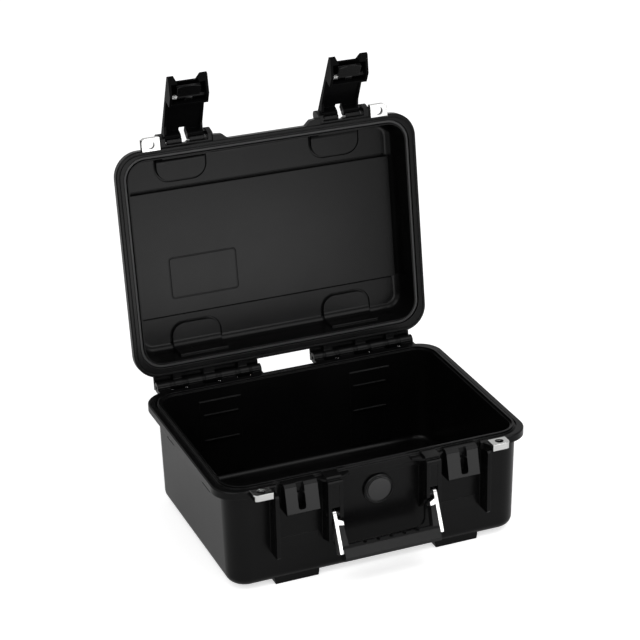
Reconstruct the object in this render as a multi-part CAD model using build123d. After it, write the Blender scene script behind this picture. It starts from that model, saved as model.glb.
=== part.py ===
"""Waterproof equipment case with a hinged lid, two trigger latches and a folding handle.

Millimetres, +Z up, +X to the right, the front towards -Y. The case is drawn about the middle of its
rim, with the lid closed; the lid is turned to where it stands open on its stop, and everything is
moved along Y so that the origin is on the floor under the middle of the open case.
"""
from build123d import *
import math
import os

# Rim, walls and floor of the base
RIM_WIDTH = 374.0
RIM_DEPTH = 271.0
RIM_CORNER = 30.0
RIM_TOP = 129.0
RIM_THICK = 9.0
SIDE_INSET = 10.3
FRONT_INSET = 5.0
BACK_INSET = 10.0
WALL = 3.9
WALL_CORNER = 25.0
BASE_DRAFT = 1.25
BASE_EDGE_ROUND = 11.0
BASE_INNER_ROUND = 7.0
FOOT_HEIGHT = 5.0
RIM_EDGE_BEVEL = 1.2

# Opening, from the rim's outline
OPENING_SIDE = 14.4
OPENING_FRONT = 12.4
OPENING_BACK = 16.2
OPENING_CORNER = 22.0

# Seal: a tongue on the base stands in a groove of the lid, against the gasket
TONGUE_SETBACK = 2.4
TONGUE_WIDTH = 2.2
TONGUE_HEIGHT = 2.6
RIM_GROOVE_GAP = 0.9
RIM_GROOVE_WIDTH = 2.2
RIM_GROOVE_DEPTH = 1.6
SEAL_SIDE_GAP = 1.0
GASKET_HEIGHT = 3.2
GASKET_SQUEEZE_GAP = 0.3
GASKET_SIDE_CLEARANCE = 0.1
MATING_GAP = 1.0

# Lid
LID_INNER_DEPTH = 40.0
LID_OUTER_DEPTH = 44.0
LID_DRAFT = 4.0
LID_EDGE_ROUND = 12.0
LID_INNER_ROUND = 9.0
LID_OPEN_ANGLE = 97.8
FIELD_STEP = 5.0
FIELD_SIDE_INSET = 23.0
FIELD_FRONT_INSET = 58.5
FIELD_BACK_INSET = 62.0
PAD_STEP = 3.0
PAD_RUN = (-30.5, 29.5)
PAD_FRONT_INSET = 47.5
PAD_BACK_INSET = 49.5
PAD_CORNER = 16.0
LABEL_CENTRE = (-82.0, 29.0)
LABEL_SIZE = (84.0, 50.0)
LABEL_CORNER = 4.0
LABEL_LINE = 0.9
LABEL_DEPTH = 0.5

# Hinge at the back; knuckles are measured inwards from the outer end of each hinge group
HINGE_BEHIND = 11.5
HINGE_END_INSET = 22.5
KNUCKLE_RADIUS = 6.2
HINGE_PIN_RADIUS = 2.2
HINGE_PIN_END = 2.0
PIN_CLEARANCE = 0.05
BASE_KNUCKLE_RUNS = ((130.5, 118.5), (97.5, 79.5), (56.0, 38.0), (16.0, 0.0))
LID_KNUCKLE_RUNS = ((115.0, 103.5), (73.5, 60.0), (32.5, 22.0))
HOOD_GAP = 0.7
HOOD_REACH = 5.0

# Feet; runs along X are measured from the middle of a latch
FOOT_RUN = (-26.5, 26.5)
FRONT_FOOT_INSET = (10.5, 44.5)
BACK_FOOT_INSET = (49.5, 16.5)
FOOT_CHAMFER = 1.0
COLUMN_RUN = (-25.0, 22.5)
COLUMN_TOP = 60.0

# Front wall: guard ribs beside the latches, recessed panel and catches
LATCH_INSET = 89.5
PIVOT_AHEAD = 7.5
GUARD_RUN = (27.0, 31.3)
GUARD_AHEAD = 13.0
GUARD_BOTTOM = 44.0
GUARD_BEVEL = 2.0
PANEL_REACH = 39.5
PANEL_BOTTOM = 31.0
PANEL_TOP = 115.0
PANEL_RECESS = 4.0
PANEL_CORNER = 12.0
PANEL_SLOPE = 2.0
CATCH_RUN = (-20.5, 18.0)
CATCH_AHEAD = 12.5
CATCH_TOP_AHEAD = 5.5
CATCH_BOTTOM = 95.0
CHANNEL_RUN = (-4.5, 4.0)
CHANNEL_LEDGE = 119.0
CHANNEL_HOLE_BOTTOM = 100.0
CHANNEL_SHALLOW = 4.0
CHANNEL_DEEP = 13.0

# Latch levers, measured from their pivot
LATCH_PIVOT_RISE = 16.0
LATCH_WIDTH = 47.0
LATCH_PLATE_IN = 6.0
LATCH_PLATE_OUT = 10.0
LATCH_HEAD_TOP = 51.5
LATCH_HEAD_IN = -7.0
LATCH_TIP = 84.0
LATCH_HORN_WIDTH = 7.0
LATCH_HORN_SLOPE = 5.0
LATCH_DIP = 9.5
LATCH_FLANGE = 3.0
LATCH_EYE_RADIUS = 5.0
LATCH_WINDOW = 8.0
LATCH_PIN_RADIUS = 2.0
LATCH_OPEN_LEFT = 60.0
LATCH_OPEN_RIGHT = 56.0
LUG_INNER_RUN = (-31.5, -25.5)
LUG_OUTER_RUN = (26.0, 33.0)
LUG_RADIUS = 6.0
BRIDGE_GAP = 0.7
BRIDGE_THICK = 2.9
BRIDGE_RISE = 9.0
FAIRING_RUN = -51.5

# Release lip in the latch head, with its pin and torsion spring
TRIGGER_HALF_WIDTH = 14.0
TRIGGER_BARREL = (-12.2, 18.4)
TRIGGER_PIVOT = (60.0, -0.5)
TRIGGER_THICK = 2.4
TRIGGER_TIP = 77.0
TRIGGER_ARCH = 2.4
TRIGGER_EYE_RADIUS = 2.8
TRIGGER_PIN_RADIUS = 1.25
HEAD_SIDE_WALL = 3.0
HEAD_LEDGE = 2.6
HEAD_POCKET_FLOOR = 7.6
HEAD_POCKET_END = 77.0
HEAD_TIP_IN = 5.0
HEAD_TAPER_START = 65.0
HEAD_PIN_BOSS = 1.6
SPRING_WIRE_RADIUS = 0.6
SPRING_RADIUS = 3.0
SPRING_PITCH = 2.0
SPRING_TURNS = 3
SPRING_SIDES = 6
SPRING_WALL_GAP = 0.3
HOOK_SPAN = (-3.5, 4.5)
HOOK_TOP = 55.6

# Padlock eyes
EYE_RUN = (33.5, 55.0)
EYE_AHEAD = 13.5
EYE_BEHIND = 1.5
EYE_HEIGHT = 7.5
EYE_SHEET = 2.2
EYE_CORNER = 5.0
EYE_HOLE_RUN = 44.5
EYE_HOLE_AHEAD = 5.5
EYE_HOLE_RADIUS = 4.8
EYE_BOSS_HOLE_RADIUS = 5.4
WEDGE_RUN = 24.5

# Handle: brackets on the base, steel arms and a moulded grip, measured along the arm from its pivot
BRACKET_RUN = (-47.5, -30.0)
BRACKET_INNER_WALL = 4.0
BRACKET_OUTER_WALL = 4.0
BRACKET_AHEAD = 12.5
BRACKET_TOP = 130.0
BRACKET_PLATE = 2.6
BRACKET_PLATE_BOTTOM = 93.0
BRACKET_PLATE_SET = 0.6
BRACKET_INNER_BOTTOM = 77.0
BRACKET_INNER_ROOT = 57.0
BRACKET_OUTER_BOTTOM = 51.0
BRACKET_OUTER_ROOT = 46.0
BRACKET_STEP = 4.0
BRACKET_STEP_HEIGHT = 3.4
GUSSET_OUTER = 9.0
GUSSET_INNER = 13.0
GUSSET_TOP = 127.0
GUSSET_THICK = 2.5
HANDLE_PIVOT_Z = 83.5
HANDLE_REST_ANGLE = 25.0
HANDLE_PIN_RADIUS = 2.2
HANDLE_BOSS_RADIUS = 4.6
HANDLE_BOSS_GAP = 0.4
ARM_RUN = -37.2
ARM_SHEET = 4.0
ARM_HALF_WIDTH = 5.2
ARM_LENGTH = 45.0
BRANCH_ROOT = (6.5, 13.0)
BRANCH_TIP = (9.5, 14.0)
BRANCH_REACH = 6.3
BRANCH_CENTRE = 12.0
STRAP_DEPTH = 4.0
LEG_TOP_THICK = 5.7
LEG_BOTTOM_THICK = 7.9
GRIP_TOP = 36.0
GRIP_BOTTOM = 54.0
GRIP_BACK = -9.0
GRIP_FRONT = 8.0
GRIP_END_GAP = 0.7
GRIP_BEVEL = 3.6
GRIP_NOTCHES = 5
GRIP_NOTCH_PITCH = 15.75
GRIP_NOTCH_RADIUS = 2.2

# Inside of the base, and pockets in the side walls
WALL_PAD_RUN = (-27.5, 24.5)
WALL_PAD_TOP = 115.0
WALL_PAD_STEP = 1.2
LEDGE_RUN = (-23.5, 19.5)
LEDGE_HEIGHTS = (97.0, 64.0)
LEDGE_THICK = 2.0
LEDGE_REACH = 2.6
SIDE_POCKETS = (65.0, -57.0)
SIDE_POCKET_SIZE = (25.0, 6.0)
SIDE_POCKET_TOP = 106.0
SIDE_POCKET_DEPTH = 1.8

# Pressure valve in the front panel
VALVE_Z = 94.7
VALVE_FLANGE_RADIUS = 17.6
VALVE_FLANGE_THICK = 3.4
VALVE_FLANGE_BEVEL = 1.0
VALVE_CAP_RADIUS = 15.4
VALVE_CAP_GAP = 0.8
VALVE_CAP_CHAMFER = 1.6
VALVE_CAP_RISE = 1.2
VALVE_CAP_SEAT = 1.4
VALVE_SHANK_RADIUS = 9.5
VALVE_SHANK_LENGTH = 12.0
VALVE_BORE_RADIUS = 5.0
VALVE_HOLE_CLEARANCE = 0.2
VALVE_NUT_RADIUS = 14.0
VALVE_NUT_THICK = 4.5
VALVE_SEAL_WIRE = 1.2
VALVE_MEMBRANE_THICK = 0.4

# Worked out from the sizes above
HALF_WIDTH = RIM_WIDTH / 2
HALF_DEPTH = RIM_DEPTH / 2
FRONT_WALL = -HALF_DEPTH + FRONT_INSET
BACK_WALL = HALF_DEPTH - BACK_INSET
SIDE_WALL = HALF_WIDTH - SIDE_INSET
RIM_UNDER = RIM_TOP - RIM_THICK
MATING_Z = RIM_TOP + MATING_GAP
HINGE_Y = HALF_DEPTH + HINGE_BEHIND
HINGE_Z = RIM_TOP + MATING_GAP / 2
HINGE_END = HALF_WIDTH - HINGE_END_INSET
BASE_KNUCKLES = [(HINGE_END - a, HINGE_END - b) for a, b in BASE_KNUCKLE_RUNS]
LID_KNUCKLES = [(HINGE_END - a, HINGE_END - b) for a, b in LID_KNUCKLE_RUNS]
LATCH_X = HALF_WIDTH - LATCH_INSET
LATCH_PIVOT_Y = -HALF_DEPTH - PIVOT_AHEAD
LATCH_PIVOT_Z = MATING_Z + LATCH_PIVOT_RISE
FLOOR_Z = FOOT_HEIGHT + WALL
FRONT_FOOT = [-HALF_DEPTH + inset for inset in FRONT_FOOT_INSET]
BACK_FOOT = [HALF_DEPTH - inset for inset in BACK_FOOT_INSET]
PANEL_FACE = FRONT_WALL + PANEL_RECESS
PANEL_HALF_WIDTH = LATCH_X - PANEL_REACH
EYE_FRONT = -HALF_DEPTH - EYE_AHEAD
BRACKET_FRONT = -HALF_DEPTH - BRACKET_AHEAD
HANDLE_PIVOT_Y = -HALF_DEPTH - PIVOT_AHEAD
FIELD_HALF_WIDTH = HALF_WIDTH - FIELD_SIDE_INSET
FIELD_FRONT = -HALF_DEPTH + FIELD_FRONT_INSET
FIELD_BACK = HALF_DEPTH - FIELD_BACK_INSET

SIDES = {"left": -1, "right": 1}


def along_x(run):
    """Span along X of a run that is measured from the middle of the right latch."""
    return (LATCH_X + run[0], LATCH_X + run[1])


FOOT_SPAN = along_x(FOOT_RUN)
CATCH_SPAN = along_x(CATCH_RUN)
LUG_INNER = along_x(LUG_INNER_RUN)
LUG_OUTER = along_x(LUG_OUTER_RUN)
EYE_INNER, EYE_OUTER = along_x(EYE_RUN)
BRACKET_INNER, BRACKET_OUTER = along_x(BRACKET_RUN)
ARM_X = LATCH_X + ARM_RUN
ARM_INSIDE = ARM_X - ARM_SHEET / 2
WEDGE_INNER = LATCH_X + WEDGE_RUN


def block(x_span, y_span, z_span):
    """Box between two corners."""
    size = [abs(b - a) for a, b in (x_span, y_span, z_span)]
    middle = [(a + b) / 2 for a, b in (x_span, y_span, z_span)]
    return Pos(*middle) * Box(*size)


def prism(points, x_span):
    """Prism along X with its outline given as (y, z) points."""
    face = Face(Wire.make_polygon([(x_span[0], y, z) for y, z in points], close=True))
    return Solid.extrude(face, Vector(x_span[1] - x_span[0], 0, 0))


def rod(x_span, y, z, radius):
    """Cylinder along X."""
    start = Plane(origin=(x_span[0], y, z), z_dir=(1, 0, 0))
    return Solid.make_cylinder(radius, x_span[1] - x_span[0], start)


def disc(y_from, y_to, z, radius, x=0.0):
    """Cylinder along Y."""
    start = Plane(origin=(x, y_from, z), z_dir=(0, 1, 0))
    return Solid.make_cylinder(radius, y_to - y_from, start)


def mirrored(shape):
    """Copy of a right-hand shape on the left."""
    return shape.mirror(Plane.YZ)


def both(shape):
    """A right-hand shape and its mirror image."""
    return [shape, mirrored(shape)]


def outline_slab(sides, front, back, corner, z_span, taper=0.0):
    """Rounded slab from its half width and its front and back edges, drawn from the first height."""
    sketch = Pos(0, (front + back) / 2) * RectangleRounded(2 * sides, back - front, corner)
    up = z_span[1] > z_span[0]
    plane = Plane(origin=(0, 0, z_span[0]), x_dir=(1, 0, 0), z_dir=(0, 0, 1 if up else -1))
    if not up:
        sketch = Pos(0, -(front + back) / 2) * RectangleRounded(2 * sides, back - front, corner)
    return extrude(plane * sketch, amount=abs(z_span[1] - z_span[0]), taper=taper)


def opening_slab(grow, z_span, taper=0.0):
    """Slab in the outline of the opening, grown by a distance all round."""
    return outline_slab(
        HALF_WIDTH - OPENING_SIDE + grow,
        -HALF_DEPTH + OPENING_FRONT - grow,
        HALF_DEPTH - OPENING_BACK + grow,
        OPENING_CORNER + grow,
        z_span,
        taper,
    )


def opening_ring(inner, outer, z_span):
    """Ring that follows the opening between two distances from its edge."""
    return opening_slab(outer, z_span) - opening_slab(inner, z_span)


def rim_slab(z_span, shrink=0.0):
    """Slab in the outline of the rim."""
    return outline_slab(
        HALF_WIDTH - shrink, -HALF_DEPTH + shrink, HALF_DEPTH - shrink, RIM_CORNER - shrink, z_span
    )


def opened(shape):
    """Turn a shape of the closed lid to where the lid stands open."""
    return shape.rotate(Axis((0, HINGE_Y, HINGE_Z), (1, 0, 0)), -LID_OPEN_ANGLE)


def guard_rib():
    """Rib beside a latch that shields the closed lever."""
    root = FRONT_WALL + WALL * 0.75
    front = -HALF_DEPTH - GUARD_AHEAD
    top = RIM_TOP - EYE_HEIGHT + EYE_SHEET / 4
    outline = (
        (root, GUARD_BOTTOM),
        (front + GUARD_BEVEL, GUARD_BOTTOM),
        (front, GUARD_BOTTOM + GUARD_BEVEL),
        (front, top - GUARD_BEVEL),
        (front + GUARD_BEVEL, top),
        (root, top),
    )
    return prism(outline, along_x(GUARD_RUN))


def panel_recess():
    """Recess of the middle panel, with rounded corners and sloping sides."""
    middle_z = (PANEL_BOTTOM + PANEL_TOP) / 2
    plane = Plane(origin=(0, PANEL_FACE, middle_z), x_dir=(1, 0, 0), z_dir=(0, -1, 0))
    half, height = PANEL_HALF_WIDTH - PANEL_SLOPE, PANEL_TOP - PANEL_BOTTOM - 2 * PANEL_SLOPE
    floor = plane * RectangleRounded(2 * half, height, PANEL_CORNER)
    slope = math.degrees(math.atan2(PANEL_SLOPE, PANEL_RECESS))
    return extrude(floor, amount=2 * PANEL_RECESS, taper=-slope)


def catch_block():
    """Catch of one latch: a block under the rim with a channel and a deep hole."""
    front, top_y = -HALF_DEPTH - CATCH_AHEAD, -HALF_DEPTH - CATCH_TOP_AHEAD
    root = FRONT_WALL + WALL / 2
    outline = (
        (root, CATCH_BOTTOM),
        (front + WALL * 0.4, CATCH_BOTTOM),
        (front, CATCH_BOTTOM + WALL * 0.4),
        (top_y, RIM_TOP - WALL * 0.8),
        (top_y + WALL * 0.8, RIM_TOP),
        (root, RIM_TOP),
    )
    body = prism(outline, CATCH_SPAN)
    channel = along_x(CHANNEL_RUN)
    body -= block(channel, (front - 1, top_y + CHANNEL_SHALLOW), (CHANNEL_LEDGE, RIM_TOP + 1))
    hole_middle = (CHANNEL_LEDGE + CHANNEL_HOLE_BOTTOM) / 2
    plane = Plane(origin=(sum(channel) / 2, front + CHANNEL_DEEP, hole_middle), x_dir=(1, 0, 0), z_dir=(0, -1, 0))
    size = (channel[1] - channel[0], CHANNEL_LEDGE - CHANNEL_HOLE_BOTTOM)
    body -= extrude(plane * RectangleRounded(size[0], size[1], size[0] / 3), amount=CHANNEL_DEEP + 1)
    return body


def bracket():
    """Handle bracket: two flanges and a front plate under a stepped cap, with gussets to the rim."""
    inner_wall = (BRACKET_INNER, BRACKET_INNER + BRACKET_INNER_WALL)
    outer_wall = (BRACKET_OUTER - BRACKET_OUTER_WALL, BRACKET_OUTER)
    root = PANEL_FACE + 1
    ledge = BRACKET_TOP - BRACKET_STEP_HEIGHT - 1

    def flange(x_span, bottom, root_bottom):
        outline = (
            (root, root_bottom),
            (BRACKET_FRONT + 4, bottom),
            (BRACKET_FRONT, bottom + 3),
            (BRACKET_FRONT, ledge - 1),
            (BRACKET_FRONT + 1, ledge),
            (root, ledge),
        )
        return prism(outline, x_span)

    plate = block(
        (inner_wall[1] - 0.5, outer_wall[0] + 0.5),
        (BRACKET_FRONT + BRACKET_PLATE_SET, BRACKET_FRONT + BRACKET_PLATE),
        (BRACKET_PLATE_BOTTOM, ledge - 2),
    )
    cap_outline = (
        (root, BRACKET_TOP),
        (root, ledge - 5),
        (BRACKET_FRONT, ledge - 5),
        (BRACKET_FRONT, ledge - 1),
        (BRACKET_FRONT + 1, ledge),
        (BRACKET_FRONT + BRACKET_STEP, ledge),
        (BRACKET_FRONT + BRACKET_STEP, BRACKET_TOP - 1),
        (BRACKET_FRONT + BRACKET_STEP + 1, BRACKET_TOP),
    )
    cap = prism(cap_outline, (BRACKET_INNER, BRACKET_OUTER))
    body = flange(inner_wall, BRACKET_INNER_BOTTOM, BRACKET_INNER_ROOT)
    body += flange(outer_wall, BRACKET_OUTER_BOTTOM, BRACKET_OUTER_ROOT)
    body += plate + cap
    arm = (ARM_X - ARM_SHEET / 2 - HANDLE_BOSS_GAP, ARM_X + ARM_SHEET / 2 + HANDLE_BOSS_GAP)
    for x_span in ((inner_wall[1] - 0.5, arm[0]), (arm[1], outer_wall[0] + 0.5)):
        if x_span[1] > x_span[0]:
            body += rod(x_span, HANDLE_PIVOT_Y, HANDLE_PIVOT_Z, HANDLE_BOSS_RADIUS)
    for x, reach in ((BRACKET_OUTER - 0.5, GUSSET_OUTER), (BRACKET_INNER + 0.5, -GUSSET_INNER)):
        corners = ((x, root), (x, BRACKET_FRONT + BRACKET_STEP + 1), (x + reach, -HALF_DEPTH), (x + reach, root))
        face = Face(Wire.make_polygon([(px, py, GUSSET_TOP - GUSSET_THICK) for px, py in corners], close=True))
        body += Solid.extrude(face, Vector(0, 0, GUSSET_THICK))
    bore = rod(
        (BRACKET_INNER - 1, BRACKET_OUTER + 1), HANDLE_PIVOT_Y, HANDLE_PIVOT_Z, HANDLE_PIN_RADIUS + PIN_CLEARANCE
    )
    return body - bore


def eye_boss():
    """Plastic boss behind the steel padlock plate of the base, with its wedge towards the catch."""
    z_span = (RIM_TOP - EYE_HEIGHT, RIM_TOP - EYE_SHEET)
    root = FRONT_WALL + WALL * 0.75
    boss = block((EYE_INNER, EYE_OUTER), (EYE_FRONT + EYE_SHEET, -HALF_DEPTH + WALL * 0.75), z_span)
    corners = (
        (WEDGE_INNER, root),
        (WEDGE_INNER, FRONT_WALL),
        (EYE_INNER, EYE_FRONT + EYE_SHEET * 0.9),
        (EYE_INNER, root),
    )
    wedge_face = Face(Wire.make_polygon([(x, y, z_span[0]) for x, y in corners], close=True))
    wedge = Solid.extrude(wedge_face, Vector(0, 0, EYE_HEIGHT - RIM_EDGE_BEVEL))
    return boss + wedge - eye_hole(z_span, EYE_BOSS_HOLE_RADIUS)


def eye_hole(z_span, radius):
    """Vertical hole of a padlock eye."""
    length = z_span[1] - z_span[0]
    middle = (LATCH_X + EYE_HOLE_RUN, -HALF_DEPTH - EYE_HOLE_AHEAD, z_span[0] - 1)
    return Solid.make_cylinder(radius, length + 2, Plane(origin=middle, z_dir=(0, 0, 1)))


def knuckle(x_span, reach_z, side):
    """Hinge knuckle with its web to a rim; side is -1 under the axis and +1 over it."""
    root = HALF_DEPTH - WALL / 2
    gap = MATING_GAP * 0.8
    outline = (
        (root, HINGE_Z + side * gap),
        (HINGE_Y, HINGE_Z + side * gap),
        (HINGE_Y + KNUCKLE_RADIUS * 0.8, HINGE_Z + side * KNUCKLE_RADIUS * 0.6),
        (root, reach_z),
    )
    return prism(outline, x_span) + rod(x_span, HINGE_Y, HINGE_Z, KNUCKLE_RADIUS)


def hinge_bore():
    """Bore of one hinge group."""
    ends = (BASE_KNUCKLES[0][0] - 1, BASE_KNUCKLES[-1][1] + 1)
    return rod(ends, HINGE_Y, HINGE_Z, HINGE_PIN_RADIUS + PIN_CLEARANCE)


def hinge_hood():
    """Cover of the lid over one group of knuckles."""
    underside = HINGE_Z + KNUCKLE_RADIUS + HOOD_GAP
    return block(
        (BASE_KNUCKLES[0][0], BASE_KNUCKLES[-1][1]),
        (HALF_DEPTH - WALL / 2, HINGE_Y + HOOD_REACH),
        (underside, MATING_Z + RIM_THICK),
    )


def foot(y_span):
    """Foot under the floor with sloping ends."""
    inner, outer = FOOT_SPAN
    outline = (
        (inner, FLOOR_Z),
        (inner, FOOT_HEIGHT),
        (inner + FOOT_CHAMFER, 0),
        (outer - FOOT_CHAMFER, 0),
        (outer, FOOT_HEIGHT),
        (outer, FLOOR_Z),
    )
    face = Face(Wire.make_polygon([(x, y_span[0], z) for x, z in outline], close=True))
    return Solid.extrude(face, Vector(0, y_span[1] - y_span[0], 0))


def front_column():
    """Straight run of the front wall that goes down to the front foot under a latch."""
    outline = (
        (FRONT_WALL + 0.5, COLUMN_TOP),
        (FRONT_FOOT[0], FOOT_HEIGHT),
        (FRONT_FOOT[0] + FOOT_CHAMFER, 0.0),
        (FRONT_FOOT[0] + WALL + BASE_EDGE_ROUND, 0.0),
        (FRONT_WALL + BASE_EDGE_ROUND, FLOOR_Z + BASE_EDGE_ROUND),
        (FRONT_WALL + WALL, COLUMN_TOP),
    )
    return prism(outline, along_x(COLUMN_RUN))


def base_walls():
    """Outer form of the base with its rounded lower edge."""
    walls = outline_slab(SIDE_WALL, FRONT_WALL, BACK_WALL, WALL_CORNER, (RIM_TOP - 1, FOOT_HEIGHT), BASE_DRAFT)
    return fillet(walls.edges().group_by(Axis.Z)[0], BASE_EDGE_ROUND)


def base_cavity():
    """Inside of the base."""
    cavity = opening_slab(0, (RIM_TOP, FLOOR_Z), BASE_DRAFT)
    cavity = fillet(cavity.edges().group_by(Axis.Z)[0], BASE_INNER_ROUND)
    return cavity + opening_slab(0, (RIM_TOP - 0.5, RIM_TOP + TONGUE_HEIGHT + 1))


def base_rim():
    """Rim of the base: ledge, drip groove and sealing tongue."""
    rim = chamfer(rim_slab((RIM_UNDER, RIM_TOP)).edges().group_by(Axis.Z)[-1], RIM_EDGE_BEVEL)
    rim -= block((-WEDGE_INNER, WEDGE_INNER), (-HALF_DEPTH - 1, FRONT_WALL), (RIM_UNDER - 1, RIM_TOP + 1))
    tongue_end = TONGUE_SETBACK + TONGUE_WIDTH
    groove_start = tongue_end + RIM_GROOVE_GAP
    rim += opening_ring(TONGUE_SETBACK, tongue_end, (RIM_TOP - 1, RIM_TOP + TONGUE_HEIGHT))
    rim -= opening_ring(
        groove_start, groove_start + RIM_GROOVE_WIDTH, (RIM_TOP - RIM_GROOVE_DEPTH, RIM_TOP + 1)
    )
    return rim


def wall_pad():
    """Raised field on the inside of the back wall, with two ledges."""
    wall_y = HALF_DEPTH - OPENING_BACK
    lean = math.tan(math.radians(BASE_DRAFT))
    bottom = FLOOR_Z + BASE_INNER_ROUND
    outline = (
        (wall_y + 1, WALL_PAD_TOP),
        (wall_y - (RIM_TOP - WALL_PAD_TOP) * lean - WALL_PAD_STEP, WALL_PAD_TOP - WALL_PAD_STEP),
        (wall_y - (RIM_TOP - bottom) * lean - WALL_PAD_STEP, bottom),
        (wall_y + 1, bottom),
    )
    pad = prism(outline, along_x(WALL_PAD_RUN))
    for top in LEDGE_HEIGHTS:
        face_y = wall_y - (RIM_TOP - top) * lean
        pad += block(along_x(LEDGE_RUN), (face_y - LEDGE_REACH, wall_y + 1), (top - LEDGE_THICK, top))
    return pad


def side_pocket(y):
    """Shallow pocket in the outside of a side wall, under the rim."""
    length, height = SIDE_POCKET_SIZE
    wall_x = SIDE_WALL - (RIM_TOP - SIDE_POCKET_TOP) * math.tan(math.radians(BASE_DRAFT))
    return block(
        (wall_x - SIDE_POCKET_DEPTH, SIDE_WALL + 5),
        (y - length / 2, y + length / 2),
        (SIDE_POCKET_TOP - height, SIDE_POCKET_TOP),
    )


def make_base_shell():
    """Base moulding with everything that is moulded on it."""
    shell = base_walls() + base_rim()
    shell -= panel_recess()
    for pocket_y in SIDE_POCKETS:
        for cut in both(side_pocket(pocket_y)):
            shell -= cut
    for part in both(catch_block()) + both(guard_rib()) + both(front_column()):
        shell += part
    for y_span in (FRONT_FOOT, BACK_FOOT):
        for part in both(foot(y_span)):
            shell += part
    shell -= base_cavity()
    for pad in both(wall_pad()):
        shell += pad
    for part in both(bracket()):
        shell += part
    for part in both(eye_boss()):
        shell += part
    for x_span in BASE_KNUCKLES:
        for part in both(knuckle(x_span, RIM_UNDER, -1)):
            shell += part
    for cut in both(hinge_bore()):
        shell -= cut
    shell -= disc(FRONT_WALL - 5, FRONT_WALL + 25, VALVE_Z, VALVE_SHANK_RADIUS + VALVE_HOLE_CLEARANCE)
    for plate in both(eye_plate(RIM_TOP, -1)):
        shell -= plate
    return shell


def eye_plate(face_z, direction):
    """Steel padlock plate, folded down at its front; direction points away from the mating gap."""
    far = face_z + direction * EYE_HEIGHT
    near = face_z + direction * EYE_SHEET
    back = -HALF_DEPTH + EYE_BEHIND
    top = block((EYE_INNER, EYE_OUTER), (EYE_FRONT, back), (min(face_z, near), max(face_z, near)))
    front = block((EYE_INNER, EYE_OUTER), (EYE_FRONT, EYE_FRONT + EYE_SHEET), (min(face_z, far), max(face_z, far)))
    plate = top + front
    corner = [
        e
        for e in plate.edges().filter_by(Axis.Z)
        if abs(e.center().X - EYE_OUTER) < 0.01 and abs(e.center().Y - EYE_FRONT) < 0.01
    ]
    plate = fillet(corner, EYE_CORNER)
    return plate - eye_hole((min(face_z, far), max(face_z, far)), EYE_HOLE_RADIUS)


def lid_walls():
    """Outer form of the closed lid with its rounded upper edge."""
    walls = outline_slab(
        SIDE_WALL, -HALF_DEPTH + OPENING_FRONT - WALL - 1, BACK_WALL, WALL_CORNER,
        (MATING_Z + 1, MATING_Z + LID_OUTER_DEPTH), LID_DRAFT,
    )
    return fillet(walls.edges().group_by(Axis.Z)[-1], LID_EDGE_ROUND)


def lid_cavity(shrink=0.0):
    """Inside of the closed lid."""
    cavity = opening_slab(-shrink, (MATING_Z, MATING_Z + LID_INNER_DEPTH - shrink), LID_DRAFT)
    return fillet(cavity.edges().group_by(Axis.Z)[-1], LID_INNER_ROUND)


def pad_prism(front, shrink=0.0):
    """Tombstone outline of a pad, from the middle of the lid out through the wall."""
    if front:
        y_span = (-HALF_DEPTH - PAD_CORNER, -HALF_DEPTH + PAD_FRONT_INSET - shrink)
    else:
        y_span = (HALF_DEPTH - PAD_BACK_INSET + shrink, HALF_DEPTH + PAD_CORNER)
    inner, outer = along_x(PAD_RUN)
    sketch = Pos((inner + outer) / 2, sum(y_span) / 2) * RectangleRounded(
        outer - inner - 2 * shrink, y_span[1] - y_span[0], PAD_CORNER - shrink
    )
    return extrude(Pos(0, 0, MATING_Z + LID_OUTER_DEPTH / 4) * sketch, amount=LID_OUTER_DEPTH)


def make_lid_shell():
    """Lid moulding, drawn closed."""
    rim = chamfer(rim_slab((MATING_Z, MATING_Z + RIM_THICK)).edges().group_by(Axis.Z)[0], RIM_EDGE_BEVEL)
    shell = lid_walls() + rim
    floor_z = MATING_Z + LID_INNER_DEPTH
    top_z = MATING_Z + LID_OUTER_DEPTH
    field = block((-FIELD_HALF_WIDTH, FIELD_HALF_WIDTH), (FIELD_FRONT, FIELD_BACK), (floor_z - FIELD_STEP, top_z))
    shell -= block(
        (-FIELD_HALF_WIDTH + WALL, FIELD_HALF_WIDTH - WALL),
        (FIELD_FRONT + WALL, FIELD_BACK - WALL),
        (top_z - FIELD_STEP, top_z + 1),
    )
    cavity = lid_cavity() - field
    inner = lid_cavity(PAD_STEP)
    for front in (True, False):
        for pad in both(pad_prism(front) - inner):
            cavity -= pad
        for recess in both(pad_prism(front, WALL)):
            shell -= recess & Pos(0, 0, LID_OUTER_DEPTH - PAD_STEP) * rim_slab((MATING_Z, MATING_Z + 10))
    shell -= cavity
    label = Pos(LABEL_CENTRE[0], LABEL_CENTRE[1], floor_z - FIELD_STEP) * (
        RectangleRounded(LABEL_SIZE[0], LABEL_SIZE[1], LABEL_CORNER)
        - RectangleRounded(
            LABEL_SIZE[0] - 2 * LABEL_LINE, LABEL_SIZE[1] - 2 * LABEL_LINE, LABEL_CORNER - LABEL_LINE
        )
    )
    shell -= extrude(label, amount=LABEL_DEPTH)
    shell -= opening_ring(
        TONGUE_SETBACK - SEAL_SIDE_GAP,
        TONGUE_SETBACK + TONGUE_WIDTH + SEAL_SIDE_GAP,
        (MATING_Z - 1, seal_groove_top()),
    )
    for part in both(lid_front_bosses()) + both(hinge_hood()):
        shell += part
    for x_span in LID_KNUCKLES:
        for part in both(knuckle(x_span, MATING_Z + RIM_THICK, 1)):
            shell += part
    for cut in both(hinge_bore()):
        shell -= cut
    for plate in both(eye_plate(MATING_Z, 1)):
        shell -= plate
    return shell


def seal_groove_top():
    """Depth of the lid's seal groove, to hold the gasket over the tongue."""
    return RIM_TOP + TONGUE_HEIGHT + GASKET_SQUEEZE_GAP + GASKET_HEIGHT


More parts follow.
